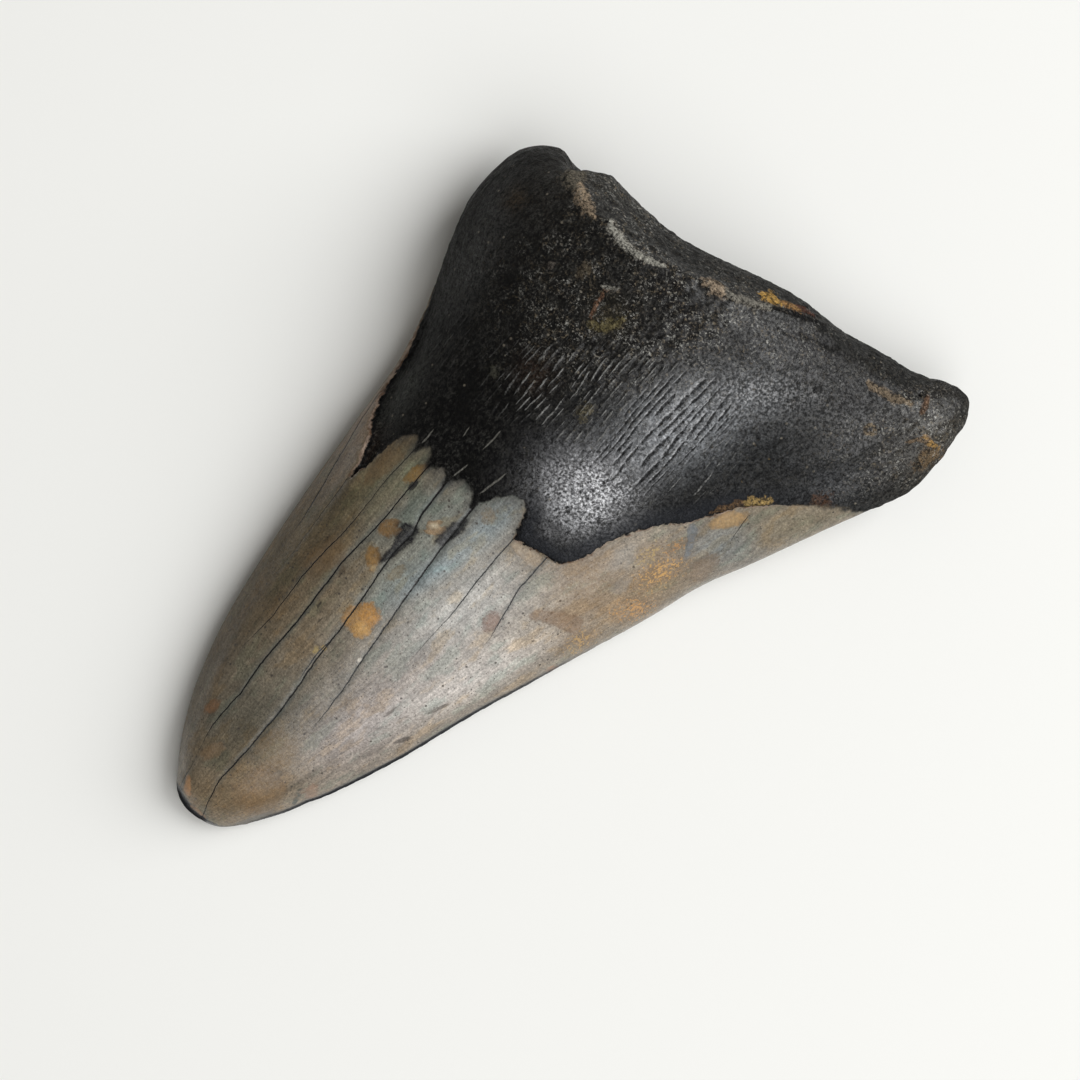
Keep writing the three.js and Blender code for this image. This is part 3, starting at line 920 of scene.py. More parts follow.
    def store_colours(self, mesh: bpy.types.Mesh, surface: Surface) -> None:
        """Stores the stains, and the colours of the enamel and the root.

        Args:
            mesh: the carved mesh.
            surface: the tooth's corners.
        """
        for name, stains in (
            ("stain", Marks.enamel_stains),
            ("granule", Marks.granules),
            ("deposit", Marks.deposits),
        ):
            depth, colours = strongest(stains, surface)
            self.store(mesh, name, depth)
            self.paint(mesh, name + "_tint", colours)
        for name, base, tints in (
            ("enamel_tint", Tints.enamel_base, Tints.enamel),
            ("bone_tint", Tints.bone_base, Tints.bone),
        ):
            self.paint(mesh, name, self.washed(surface, base, tints))

    def store(self, mesh: bpy.types.Mesh, name: str, values: Array) -> None:
        """Stores one number for each corner of the mesh."""
        attribute = mesh.attributes.new(name, "FLOAT", "POINT")
        attribute.data.foreach_set("value", values.astype(np.float32))

    def paint(self, mesh: bpy.types.Mesh, name: str, colours: Array) -> None:
        """Stores one colour, with its alpha, for each corner of the mesh."""
        attribute = mesh.attributes.new(name, "FLOAT_COLOR", "POINT")
        attribute.data.foreach_set("color", colours.astype(np.float32).ravel())

    def washed(self, surface: Surface, base: Colour, tints: list[Tint]) -> Array:
        """Lays soft patches of colour over a base colour.

        Args:
            surface: the tooth's corners.
            base: the colour below the patches.
            tints: the patches, first to last.

        Returns:
            One colour for each corner.
        """
        colours = np.tile(np.array(base), (len(surface.plan), 1))
        for tint in tints:
            share = (tint.patch.glow(surface.plan) * surface.domed)[:, None]
            colours = colours * (1.0 - share) + np.array(tint.colour) * share
        return np.column_stack([colours, np.ones(len(colours))])

    def enamel_side(self, surface: Surface) -> Array:
        """Measures how far inside the enamel each corner is, in mm, negative on the root.

        Args:
            surface: the tooth's corners.

        Returns:
            One distance for each corner.
        """
        sides = []
        for edge in (Marks.enamel_edge, Marks.flat_edge):
            gap = distance_to_line(surface.plan, edge)
            inside = inside_outline(surface.plan, edge + Marks.crown_round)
            sides.append(np.where(inside, gap, -gap))
        ragged = 0.24 * self.noise.layered(surface.places, (1.1, 1.1, 1.1), 3)
        return np.where(surface.domed > 0.5, sides[0], sides[1]) + ragged

    def edge_softness(self, surface: Surface) -> Array:
        """Measures how gradually the enamel gives way to root.

        Args:
            surface: the tooth's corners.

        Returns:
            Half the width of the change at each corner, in mm.
        """
        faded = 0.26 * surface.zone(Zones.fingers) + 0.5 * Zones.blurred.glow(surface.plan)
        return 0.06 + faded * surface.domed

    def lip(self, surface: Surface) -> Array:
        """Where the root ends in a crisp lip over the enamel: 1 there and 0 elsewhere."""
        clear = smooth_step(surface.plan[:, 0] + 0.4 * surface.plan[:, 1], 1.6, 3.4)
        return surface.zone(Zones.lips) * clear

    def torn(self, surface: Surface) -> Array:
        """Where the enamel's edge is thick and broken: 1 there and 0 elsewhere."""
        clear = smooth_step(surface.plan[:, 0] + 0.35 * surface.plan[:, 1], -21.2, -22.2)
        return surface.zone(Zones.torn) * clear

    def smoothed(self, surface: Surface) -> Array:
        """Where wear turns the striations from crests into grooves: 1 there, 0 elsewhere."""
        return smooth_step(surface.zone(Zones.worn), 0.25, 0.5)

    def fan(self, surface: Surface) -> Array:
        """Measures across the crown, with lines that draw together towards the tip.

        Args:
            surface: the tooth's corners.

        Returns:
            The measure at each corner, about 20 at the crown's edges and 0 in its middle.
        """
        from_middle = surface.plan[:, 0] - along_tooth(surface.plan, Marks.crown_middle)
        return 20.0 * from_middle / along_tooth(surface.plan, Marks.crown_half)

    def right_edge(self, surface: Surface) -> Array:
        """Finds where the crown turns over at its right cutting edge.

        Args:
            surface: the tooth's corners.

        Returns:
            1 on the edge and 0 elsewhere.
        """
        turned = surface.normals[:, 2]
        steep = smooth_step(turned, 0.52, 0.28) * smooth_step(turned, -0.5, 0.25)
        return steep * (surface.plan[:, 0] > along_tooth(surface.plan, Marks.right_part))

    def cutting_edge(self, surface: Surface) -> Array:
        """Measures how dark the right cutting edge and the rim round the tip are made.

        Args:
            surface: the tooth's corners.

        Returns:
            1 where they are black and 0 where they are not darkened.
        """
        x, y = surface.plan.T
        turned = surface.normals[:, 2]
        tip = smooth_step(y, -58.8, -60.2) * smooth_step(turned, 0.74, 0.5)
        tip *= smooth_step(turned, -0.25, 0.15) * smooth_step(x, 1.6, 0.2)
        return np.maximum(self.right_edge(surface) * along_tooth(surface.plan, Marks.edge_darkening), tip)

    def polish(self, surface: Surface, side: Array) -> Array:
        """How polished the surface is: 1 is glossy and 0 is dull.

        Args:
            surface: the tooth's corners.
            side: the distance inside the enamel.

        Returns:
            One amount for each corner.
        """
        level = smooth_step(surface.normals[:, 2], 0.45, 0.85)
        right = smooth_step(surface.plan[:, 0] - 0.3 * surface.plan[:, 1], 2.0, 12.0)
        enamel = (0.12 + 0.78 * np.maximum(level, right)) * (1.0 - self.cutting_edge(surface))
        bone = 0.04 + 0.9 * surface.zone(Zones.worn) + 0.5 * surface.zone(Zones.grainy)
        bone = np.clip(bone, 0, 1)
        return np.where(side > 0, enamel, bone * (0.25 + 0.75 * level))

    def crack_sides(self, cracks: list[Crack], surface: Surface) -> tuple[Array, Array]:
        """Measures how far each corner is from its nearest crack.

        The distance changes sign from one side of a crack to the other, and keeps its sign
        halfway between two cracks, so that it passes through 0 only on a crack.

        Args:
            cracks: the cracks, from left to right.
            surface: the tooth's corners.

        Returns:
            The signed distance, and how open that crack is.
        """
        plan, places = surface.plan, surface.places
        wander = 0.09 * self.noise.layered(places + 90.0, (9.0, 2.2, 9.0), 3)
        sides = np.array([crack.side(plan) + wander for crack in cracks])
        openness = np.array([crack.openness(plan) for crack in cracks])
        nearest = np.argmin(np.abs(sides), axis=0)
        parity = np.where(nearest % 2 == 0, 1.0, -1.0)
        corner = np.arange(len(plan))
        return sides[nearest, corner] * parity, openness[nearest, corner] * surface.domed

    def striations(self, surface: Surface) -> Striations:
        """Lays out short parallel lines that run down the root towards the crown.

        The lines stand in columns. Each column is a row of short runs of its own length.

        Args:
            surface: the tooth's corners.

        Returns:
            The lines.
        """
        x, y = surface.plan.T
        shift = 0.8 * self.noise.at(surface.places, (3.0, 15.0, 15.0))
        shift += 0.09 * self.noise.layered(surface.places + 40.0, (1.6, 1.8, 9.0), 3)
        column = (x + 0.09 * (y - 20.0) + shift) / self.striation_gap
        columns, rows = 256, 64
        draw = np.random.default_rng(self.noise.seed)
        phases, periods = draw.random(columns), draw.uniform(2.8, 6.4, columns)
        sizes = draw.uniform(0.0, 1.0, (columns, rows))
        number = np.round(column).astype(int) % columns
        row, share = np.divmod(y / periods[number] + phases[number], 1.0)
        size = sizes[number, row.astype(int) % rows]
        smoothed = self.smoothed(surface)
        reach = 0.86 + 0.14 * smoothed
        run = (1.0 - np.abs(2.0 * share - 1.0) / reach) * (0.35 + 0.8 * size + 0.35 * smoothed)
        run = np.where(size < 0.22, -1.0, run)
        zone = sum(patch.glow(surface.plan) for patch in Zones.striated)
        zone *= 1.0 - 0.95 * np.clip(Zones.unstriated.glow(surface.plan), 0, 1)
        strength = np.clip(1.9 * zone - 0.55, 0, 1) * surface.domed
        return Striations(np.sin(math.pi * column), np.sin(2.0 * math.pi * column), run, strength)

    def pits(self, surface: Surface) -> tuple[Array, Array]:
        """Small pits in the root's pale swelling.

        Args:
            surface: the tooth's corners.

        Returns:
            The pits, 1 at the bottom of one and 0 outside, and how strong they are.
        """
        grain = self.noise.layered(surface.places + 7.0, (0.36, 0.36, 0.6), 1)
        return smooth_step(grain, -0.12, -0.42), surface.zone(Zones.pitted)

    def broad_relief(self, surface: Surface, side: Array) -> Array:
        """Raises uneven swells on the root and the crown, in mm.

        Args:
            surface: the tooth's corners.
            side: the distance inside the enamel.

        Returns:
            The height to add at each corner.
        """
        root = smooth_step(side, 0.0, -6.0)
        swells = self.noise.layered(surface.places, (11.0, 13.0, 11.0), 2)
        flutes = self.noise.layered(surface.places + 50.0, (6.0, 22.0, 6.0), 2)
        height = self.broad_lumps * root * swells + 0.08 * (1.0 - root) * flutes
        return height + surface.domed * sum(patch.glow(surface.plan) for patch in Zones.swells)

    def edge_relief(self, surface: Surface, side: Array) -> Array:
        """Steps the surface at the enamel's edge, in mm.

        The root stands proud in the middle and on the right. On the left, the enamel is thick
        and broken, and stands proud of the root.

        Args:
            surface: the tooth's corners.
            side: the distance inside the enamel.

        Returns:
            The height to add at each corner.
        """
        into_root, into_crown = np.clip(-side, 0.0, None), np.clip(side, 0.0, None)
        lip = smooth_step(side, 0.1, -0.35) * np.exp(-into_root / 4.5)
        shelf = smooth_step(side, -0.45, 0.35) * np.exp(-into_crown / 6.0)
        recess = -0.35 * np.exp(-(((side + 0.9) / 0.8) ** 2))
        broken = self.torn(surface) * (self.torn_step * shelf + recess)
        return self.root_lip * self.lip(surface) * lip + broken

    def root_relief(self, surface: Surface, side: Array, lines: Array, pits: Array) -> Array:
        """Carves the root's striations, pits, grain, ridge, crusts and fibres, in mm.

        Args:
            surface: the tooth's corners.
            side: the distance inside the enamel.
            lines: how strong the striations are.
            pits: how strong the pits are.

        Returns:
            The height to add at each corner.
        """
        places, plan = surface.places, surface.plan
        sheen, smoothed = surface.zone(Zones.worn), self.smoothed(surface)
        height = self.striation_depth * lines * (1.0 - 1.65 * smoothed)
        height -= self.pit_depth * pits
        height += 0.06 * sheen * self.noise.layered(places + 3.0, (0.8, 0.8, 0.8), 2)
        coarse = 0.5 + 0.9 * surface.zone(Zones.grainy)
        height += 0.11 * coarse * self.noise.layered(places, (1.3, 1.3, 1.3), 2)
        steep = smooth_step(surface.normals[:, 2], 0.75, 0.3)
        height += 0.14 * steep * self.noise.layered(places + 13.0, (1.6, 7.0, 0.8), 2)
        height += surface.domed * self.base_ridge(plan)
        depth, _ = strongest(Marks.deposits, surface)
        lumpy = 0.7 + 0.6 * self.noise.at(places, (0.8, 0.8, 0.8))
        height += self.crust_height * smooth_step(depth, -0.3, 0.4) * lumpy
        height -= self.pore_depth * surface.domed * sum(pore.glow(plan) for pore in Marks.pores)
        return smooth_step(side, 0.1, -0.6) * height

    def base_ridge(self, plan: Array) -> Array:
        """Raises the ridge along the root's base, and sinks a furrow in front of its right end.

        Args:
            plan: the corners, as rows of x and y.

        Returns:
            The height to add at each corner, in mm.
        """
        right_end = [(x + 0.6, y - 1.9) for x, y in Marks.basal_ridge[7:]]
        ridge = np.exp(-((distance_to_line(plan, Marks.basal_ridge) / 1.2) ** 2))
        furrow = np.exp(-((distance_to_line(plan, right_end) / 0.9) ** 2))
        height = self.ridge_height * ridge - self.furrow_depth * furrow
        return height - Zones.behind_ridge.glow(plan)

    def crown_relief(self, surface: Surface, side: Array) -> Array:
        """Carves the cracks, the chipped tip and a nick in the cutting edge, in mm.

        Args:
            surface: the tooth's corners.
            side: the distance inside the enamel.

        Returns:
            The height to add at each corner.
        """
        crack, openness = self.crack_sides(Marks.cracks, surface)
        groove = self.crack_depth * np.exp(-((crack / 0.22) ** 2))
        roll = 0.05 * np.exp(-np.abs(crack) / 1.2)
        sunk = smooth_step(side, -0.6, 0.2) * np.clip(openness, 0, 1) * (groove + roll)
        return -sunk - sum(chip.glow(surface.plan) for chip in Zones.chips)


# ---------------------------------------------------------------- shader building

@dataclass
class Sheet:
    """A node tree that is written by short calls."""

    tree: bpy.types.NodeTree

    def node(self, kind: str, inputs: dict, **settings: object) -> bpy.types.Node:
        """Adds a node.

        Args:
            kind: the node's type.
            inputs: what each input reads, by name or number.
            **settings: the node's own values.

        Returns:
            The new node.
        """
        made = self.tree.nodes.new(kind)
        for name, value in settings.items():
            setattr(made, name, value)
        for key, source in inputs.items():
            if isinstance(source, Socket):
                self.tree.links.new(source, made.inputs[key])
            elif made.inputs[key].type == "RGBA":
                made.inputs[key].default_value = (*source[:3], 1.0)
            else:
                made.inputs[key].default_value = source
        return made

    def math(self, operation: str, *values: Source) -> Socket:
        """Does arithmetic on numbers."""
        inputs = dict(enumerate(values))
        return self.node("ShaderNodeMath", inputs, operation=operation).outputs[0]

    def times(self, product: Source, *others: Source) -> Socket:
        """Multiplies numbers.

        Args:
            product: the first number.
            *others: the rest.

        Returns:
            Their product.
        """
        for other in others:
            product = self.math("MULTIPLY", product, other)
        return product

    def times_plus(self, value: Source, factor: Source, more: Source) -> Socket:
        """Multiplies a number by a factor, and adds another."""
        return self.math("MULTIPLY_ADD", value, factor, more)

    def mix(self, share: Source, low: Source, high: Source, way: str = "MIX") -> Socket:
        """Mixes two colours by a share of the second."""
        inputs = {0: share, 6: low, 7: high}
        return self.node("ShaderNodeMix", inputs, data_type="RGBA", blend_type=way).outputs[2]

    def blend(self, share: Source, low: Source, high: Source) -> Socket:
        """Mixes two numbers by a share of the second."""
        inputs = {0: share, 2: low, 3: high}
        return self.node("ShaderNodeMix", inputs, data_type="FLOAT").outputs[0]

    def remap(
        self, value: Source, low: Source, high: Source, bottom: Source = 0.0, top: Source = 1.0
    ) -> Socket:
        """Eases a number from one range to another."""
        inputs = {0: value, 1: low, 2: high, 3: bottom, 4: top}
        return self.node("ShaderNodeMapRange", inputs, interpolation_type="SMOOTHSTEP").outputs[0]

    def scaled(self, vector: Source, amounts: Size) -> Socket:
        """Multiplies a place, which squeezes the pattern that reads it."""
        inputs = {0: vector, 1: amounts}
        return self.node("ShaderNodeVectorMath", inputs, operation="MULTIPLY").outputs[0]

    def noise(
        self, vector: Source, scale: Source, detail: float = 2.0, roughness: float = 0.5
    ) -> Socket:
        """Reads soft noise, from 0 to 1."""
        inputs = {"Vector": vector, "Scale": scale, "Detail": detail, "Roughness": roughness}
        return self.node("ShaderNodeTexNoise", inputs).outputs[0]

    def swing(
        self, vector: Source, scale: Source, detail: float = 2.0, roughness: float = 0.5
    ) -> Socket:
        """Reads soft noise that swings about 0."""
        return self.math("SUBTRACT", self.noise(vector, scale, detail, roughness), 0.5)

    def attribute(self, name: str) -> bpy.types.Node:
        """Reads one of the tooth's marks."""
        return self.node("ShaderNodeAttribute", {}, attribute_name=name)

    def mark(self, name: str) -> Socket:
        """Reads one of the tooth's marks as a number."""
        return self.attribute(name).outputs["Fac"]


class Effect(Enum):
    """The effects that the finishes share."""

    RAGGED_MASK = "ragged_mask"
    MOTTLE = "mottle"
    GRAIN = "grain"
    SPECKS = "specks"


SOCKETS = {float: "NodeSocketFloat", tuple: "NodeSocketVector", list: "NodeSocketColor"}


@dataclass
class EffectKit:
    """Builds each shared effect once, as a node group, and places it where it is wanted."""

    made: dict[Effect, bpy.types.NodeTree] = field(default_factory=dict)

    def place(self, sheet: Sheet, effect: Effect, **values: Source) -> Socket:
        """Places an effect in a node tree.

        Args:
            sheet: the tree to place it in.
            effect: which effect.
            **values: what its inputs read, with a low line for each space in their names.

        Returns:
            The effect's output.
        """
        if effect not in self.made:
            self.made[effect] = getattr(self, effect.value)()
        inputs = {name.replace("_", " ").title(): value for name, value in values.items()}
        return sheet.node("ShaderNodeGroup", inputs, node_tree=self.made[effect]).outputs[0]

    def open_group(self, name: str, output: str, **inputs: object) -> tuple[Sheet, dict]:
        """Starts a node group.

        Args:
            name: the group's name.
            output: the name of its output, which is a colour if it is "Color".
            **inputs: each input's usual value, with a low line for each space in its name.

        Returns:
            The group's sheet, and its inputs by name.
        """
        tree = bpy.data.node_groups.new(name, "ShaderNodeTree")
        kind = "NodeSocketColor" if output == "Color" else "NodeSocketFloat"
        tree.interface.new_socket(output, in_out="OUTPUT", socket_type=kind)
        for key, value in inputs.items():
            title, kind = key.replace("_", " ").title(), SOCKETS[type(value)]
            socket = tree.interface.new_socket(title, in_out="INPUT", socket_type=kind)
            if isinstance(value, float):
                socket.default_value = value
        sheet = Sheet(tree)
        entry = sheet.node("NodeGroupInput", {})
        return sheet, {key: entry.outputs[key.replace("_", " ").title()] for key in inputs}

    def close_group(self, sheet: Sheet, result: Socket) -> bpy.types.NodeTree:
        """Ends a node group with its result."""
        sheet.node("NodeGroupOutput", {0: result})
        return sheet.tree

    def ragged_mask(self) -> bpy.types.NodeTree:
        """Turns a field, above 0 inside a mark, into a mask with a ragged edge.

        Returns:
            The node group.
        """
        sheet, ins = self.open_group(
            "ragged_mask", "Mask", field=0.0, place=(0.0,), size=1.0, raggedness=0.4, softness=0.1
        )
        scale = sheet.math("DIVIDE", 1.0, ins["size"])
        tatters = sheet.swing(ins["place"], scale, 4.0, 0.7)
        broad = sheet.swing(ins["place"], sheet.times(scale, 0.4), 2.0)
        push = sheet.times(sheet.math("ADD", tatters, broad), sheet.times(ins["raggedness"], 2.0))
        pushed = sheet.math("ADD", ins["field"], push)
        low = sheet.times(ins["softness"], -1.0)
        return self.close_group(sheet, sheet.remap(pushed, low, ins["softness"]))

    def mottle(self) -> bpy.types.NodeTree:
        """Varies a colour's lightness in soft patches.

        Returns:
            The node group.
        """
        sheet, ins = self.open_group(
            "mottle", "Color", color=[], place=(0.0,), size=1.0, amount=0.2
        )
        patches = sheet.swing(ins["place"], sheet.math("DIVIDE", 1.0, ins["size"]), 3.0, 0.55)
        light = sheet.math("ADD", 1.0, sheet.times(patches, ins["amount"], 4.0))
        grey = sheet.node("ShaderNodeCombineColor", {0: light, 1: light, 2: light}).outputs[0]
        return self.close_group(sheet, sheet.mix(1.0, ins["color"], grey, "MULTIPLY"))

    def grain(self) -> bpy.types.NodeTree:
        """A granular height, of rounded grains between fine pits.

        Returns:
            The node group.
        """
        sheet, ins = self.open_group("grain", "Height", place=(0.0,), size=0.5, pitting=0.5)
        scale = sheet.math("DIVIDE", 1.0, ins["size"])
        soft = sheet.noise(ins["place"], scale, 3.0, 0.6)
        cells = sheet.node("ShaderNodeTexVoronoi", {"Vector": ins["place"], "Scale": scale})
        pits = sheet.remap(cells.outputs["Distance"], 0.1, 0.45)
        return self.close_group(sheet, sheet.blend(ins["pitting"], soft, pits))

    def specks(self) -> bpy.types.NodeTree:
        """Scattered small dots.

        Returns:
            The node group.
        """
        sheet, ins = self.open_group(
            "specks", "Mask", place=(0.0,), spacing=1.0, width=0.2, share=0.4
        )
        scale = sheet.math("DIVIDE", 1.0, ins["spacing"])
        cells = sheet.node("ShaderNodeTexVoronoi", {"Vector": ins["place"], "Scale": scale})
        reach = sheet.math("DIVIDE", ins["width"], ins["spacing"])
        dot = sheet.remap(cells.outputs["Distance"], reach, sheet.times(reach, 0.4))
        chance = sheet.node("ShaderNodeSeparateColor", {0: cells.outputs["Color"]}).outputs[0]
        chosen = sheet.math("LESS_THAN", chance, ins["share"])
        return self.close_group(sheet, sheet.times(dot, chosen))


# ---------------------------------------------------------------- finishes


@dataclass(frozen=True)
class EnamelFinish:
    """Smooth, worn, mineralised enamel: satin, streaked along the crown and stained.

    Each layer of streaks or mottles is a size in mm and an amount. Each layer of dots is their
    spacing and width in mm, the share of them that shows, and how dark they are.
    """

    roughness: float = 0.40
    edge_roughness: float = 0.95
    grain_size: float = 0.34
    grain_height: float = 0.08
    pitting: float = 0.3
    streak_height: float = 0.04
    crack_depth: float = 0.1
    streaks: Layers = ((1.5, 0.17), (0.5, 0.20), (0.2, 0.17))
    mottles: Layers = ((4.5, 0.15), (1.8, 0.18), (0.6, 0.22), (0.3, 0.3))
    dots: Layers = ((0.6, 0.14, 0.5, 0.85), (1.5, 0.26, 0.55, 0.9))
    rim_mottles: Layers = ((0.4, 0.3),)
    warmth: Colour = (1.07, 0.98, 0.85)
    coolness: Colour = (0.90, 0.99, 0.98)
    speck: Colour = (0.045, 0.038, 0.032)
    brown_wash: Colour = (0.20, 0.12, 0.06)
    crack: Colour = (0.004, 0.004, 0.005)
    crack_haze: Colour = (0.075, 0.09, 0.09)
    finger_shade: Colour = (0.02, 0.022, 0.026)
    edge_haze: Colour = (0.075, 0.085, 0.09)
    edge_darkening: Colour = (0.008, 0.009, 0.012)
    rim_pale: Colour = (0.30, 0.225, 0.175)
    rim_brown: Colour = (0.10, 0.055, 0.032)


@dataclass(frozen=True)
class BoneFinish:
    """Black mineralised root: granular, pitted and semi-gloss.

    Each layer of mottles or fibres is a size in mm and an amount. Each layer of pale grains is
    how fine they are, the level that they start from, and an amount.
    """

    roughness: float = 0.5
    dull_roughness: float = 0.78
    grain_size: float = 0.55
    grain_height: float = 0.26
    pitting: float = 0.25
    grit_height: float = 0.2
    pit_depth: float = 0.07
    mottles: Layers = ((6.0, 0.25), (1.3, 0.3), (0.4, 0.5))
    fibres: Layers = ((0.5, 0.4),)
    pale_grains: Layers = ((1.3, 0.55, 0.5), (2.7, 0.52, 1.0))
    pale_grain: Colour = (0.29, 0.285, 0.26)
    brown_grain: Colour = (0.13, 0.105, 0.07)
    # Painted sheen: near-white laid on the worn root's grit and beside its grooves
    painted_sheen: Colour = (0.92, 0.93, 0.96)
    fleck: Colour = (0.26, 0.23, 0.18)
    # Painted highlight on the striations' raised crests
    crest_highlight: Colour = (0.30, 0.30, 0.29)
    # Painted light on the colour-only creases where they stand up
    crease_light: Colour = (0.036, 0.035, 0.032)
    # Painted shade: the black laid in the root's hollows, grooves, sunk creases, pits and pores, and
    # under its lip
    groove: Colour = (0.002, 0.002, 0.0025)
    scratch: Colour = (0.15, 0.146, 0.13)
    # Painted shade where the root's lip rounds over towards the enamel
    lip_shade: Colour = (0.018, 0.020, 0.025)


@dataclass(frozen=True)
class StainFinish:
    """How one kind of stain or crust lies on the surface: its mark, and its ragged rim.

    The size of the rim's tatters is in mm. The holes are how much of it is worn through.
    """

    mark: str
    size: float
    raggedness: float
    softness: float
    holes: float
    mottles: Layers = ((0.45, 0.28), (1.5, 0.2))
    rim: Colour = (0.55, 0.52, 0.5)


@dataclass
class ToothSurface:
    """The tooth's one material: enamel and root, told apart by the tooth's own marks."""

    enamel: EnamelFinish = EnamelFinish()
    bone: BoneFinish = BoneFinish()
    stain: StainFinish = StainFinish("stain", 0.8, 0.5, 0.22, 0.2)
    crust: StainFinish = StainFinish("deposit", 0.5, 1.3, 0.3, 0.8)
    index: float = 1.17
    coat_roughness: float = 0.27
    kit: EffectKit = field(default_factory=EffectKit)

    def build(self) -> bpy.types.Material:
        """Builds the material.

        Returns:
            The finished material.
        """
        material = bpy.data.materials.new("fossil_tooth_surface")
        material.use_nodes = True
        material.node_tree.nodes.clear()
        sheet = self.sheet = Sheet(material.node_tree)
        texture = sheet.node("ShaderNodeTexCoord", {})
        self.place = sheet.scaled(texture.outputs["Object"], (1 / MM, 1 / MM, 1 / MM))
        along = sheet.node("ShaderNodeSeparateXYZ", {0: self.place}).outputs[1]
        fanned = {0: sheet.mark("fan"), 1: sheet.times(along, 0.05), 2: 0.0}
        self.fanned = sheet.node("ShaderNodeCombineXYZ", fanned).outputs[0]
        self.side = self.edge_side()
        self.lines = self.striation_lines()
        softness = sheet.mark("edge_softness")
        inside = sheet.remap(self.side, sheet.times(softness, -1.0), softness)
        crack = self.crack_lines("crack", "strand")
        colour = sheet.mix(inside, self.bone_colour(), self.enamel_colour(crack))
        height = sheet.blend(inside, self.bone_height(), self.enamel_height(crack))
        bump = sheet.node("ShaderNodeBump", {"Strength": 1.0, "Distance": MM, "Height": height})
        skin = {
            "Base Color": self.seam(colour),
            "Roughness": sheet.blend(inside, self.bone_roughness(), self.enamel_roughness()),
            "Normal": bump.outputs[0],
            "IOR": self.index,
            "Coat Weight": self.polish(),
            "Coat Roughness": self.coat_roughness,
        }
        shader = sheet.node("ShaderNodeBsdfPrincipled", skin)
        sheet.node("ShaderNodeOutputMaterial", {0: shader.outputs[0]})
        return material

    def edge_side(self) -> Socket:
        """Measures how far inside the enamel each place is, with fine tatters along its edge.

        Returns:
            The distance in mm, negative on the root.
        """
        sheet = self.sheet
        reach = sheet.times_plus(sheet.mark("edge_softness"), 1.6, 0.35)
        reach = sheet.times_plus(sheet.mark("lip"), 0.7, reach)
        push = sheet.swing(self.place, 1.3, 4.0, 0.62)
        return sheet.times_plus(push, reach, sheet.mark("enamel_side"))

    def crack_lines(self, *names: str) -> Socket:
        """Masks cracks or scratches as thin lines whose width follows how open they are.

        Args:
            *names: the cracks' marks, without their endings.

        Returns:
            The mask.
        """
        sheet, mask = self.sheet, 0.0
        jitter = sheet.swing(self.place, 2.4, 3.0)
        for name in names:
            openness = sheet.mark(name + "_open")
            away = sheet.math("ABSOLUTE", sheet.times_plus(jitter, 0.16, sheet.mark(name + "_side")))
            width = sheet.times_plus(openness, 0.125, 0.05)
            line = sheet.remap(away, width, sheet.times(width, 0.4))
            line = sheet.times(line, sheet.remap(openness, 0.02, 0.5))
            mask = sheet.math("MAXIMUM", line, mask)
        return mask

    def mottled(self, colour: Source, layers: Layers, place: Source) -> Socket:
        """Varies a colour's lightness in several layers of soft patches.

        Args:
            colour: the colour.
            layers: each layer's size and amount.
            place: the place that the patches read.

        Returns:
            The mottled colour.
        """
        for size, amount in layers:
            colour = self.kit.place(
                self.sheet, Effect.MOTTLE, color=colour, place=place, size=size, amount=amount
            )
        return colour

    def stained(self, colour: Source, kind: StainFinish) -> Socket:
        """Lays one kind of stain over a colour.

        Args:
            colour: the colour below.
            kind: how the stain lies on the surface.

        Returns:
            The stained colour.
        """
        sheet, depth = self.sheet, self.sheet.mark(kind.mark)
        tint = sheet.attribute(kind.mark + "_tint").outputs
        mask = self.kit.place(
            sheet, Effect.RAGGED_MASK, field=depth, place=self.place, size=kind.size,
            raggedness=kind.raggedness, softness=kind.softness,
        )
        shade = self.mottled(tint["Color"], kind.mottles, self.place)
        rim = sheet.remap(depth, 0.5, 0.05, 0.0, 0.5)
        shade = sheet.mix(rim, shade, sheet.mix(1.0, shade, kind.rim, "MULTIPLY"))
        grain = sheet.noise(self.place, 2.4, 4.0, 0.75)
        worn = sheet.remap(grain, 0.42, 0.54, 1.0 - kind.holes, 1.0)
        return sheet.mix(sheet.times(mask, tint["Alpha"], worn), colour, shade)

    def enamel_colour(self, crack: Source) -> Socket:
        """Colours the enamel.

        Args:
            crack: the mask of the cracks.

        Returns:
            The enamel's colour.
        """
        sheet, place, finish = self.sheet, self.place, self.enamel
        colour = sheet.attribute("enamel_tint").outputs["Color"]
        drift = sheet.noise(sheet.scaled(place, (0.35, 0.14, 0.35)), 1.0, 4.0, 0.6)
        for drifted, low, high in ((finish.warmth, 0.52, 0.64), (finish.coolness, 0.48, 0.36)):
            tinted = sheet.mix(1.0, colour, drifted, "MULTIPLY")
            colour = sheet.mix(sheet.remap(drift, low, high), colour, tinted)
        colour = self.mottled(colour, finish.streaks, self.fanned)
        colour = self.mottled(colour, finish.mottles, place)
        for spacing, width, share, strength in finish.dots:
            dots = self.kit.place(
                sheet, Effect.SPECKS, place=place, spacing=spacing, width=width, share=share
            )
            colour = sheet.mix(sheet.times(dots, strength), colour, finish.speck)
        colour = self.granulated(colour)
        away = sheet.math("ABSOLUTE", sheet.mark("crack_side"))
        haze = sheet.times(sheet.remap(away, 1.0, 0.1), sheet.mark("crack_open"))
        patchy = sheet.remap(sheet.noise(self.fanned, 1.6, 2.0), 0.3, 0.6, 0.2, 0.55)
        colour = sheet.mix(sheet.times(haze, patchy), colour, finish.crack_haze)
        colour = self.stained(colour, self.stain)
        fade = sheet.remap(sheet.mark("enamel_side"), 2.0, -0.2)
        fade = sheet.times(fade, sheet.mark("fingers"), 0.6)
        colour = sheet.mix(fade, colour, finish.finger_shade)
        dark = sheet.mark("cutting_edge")
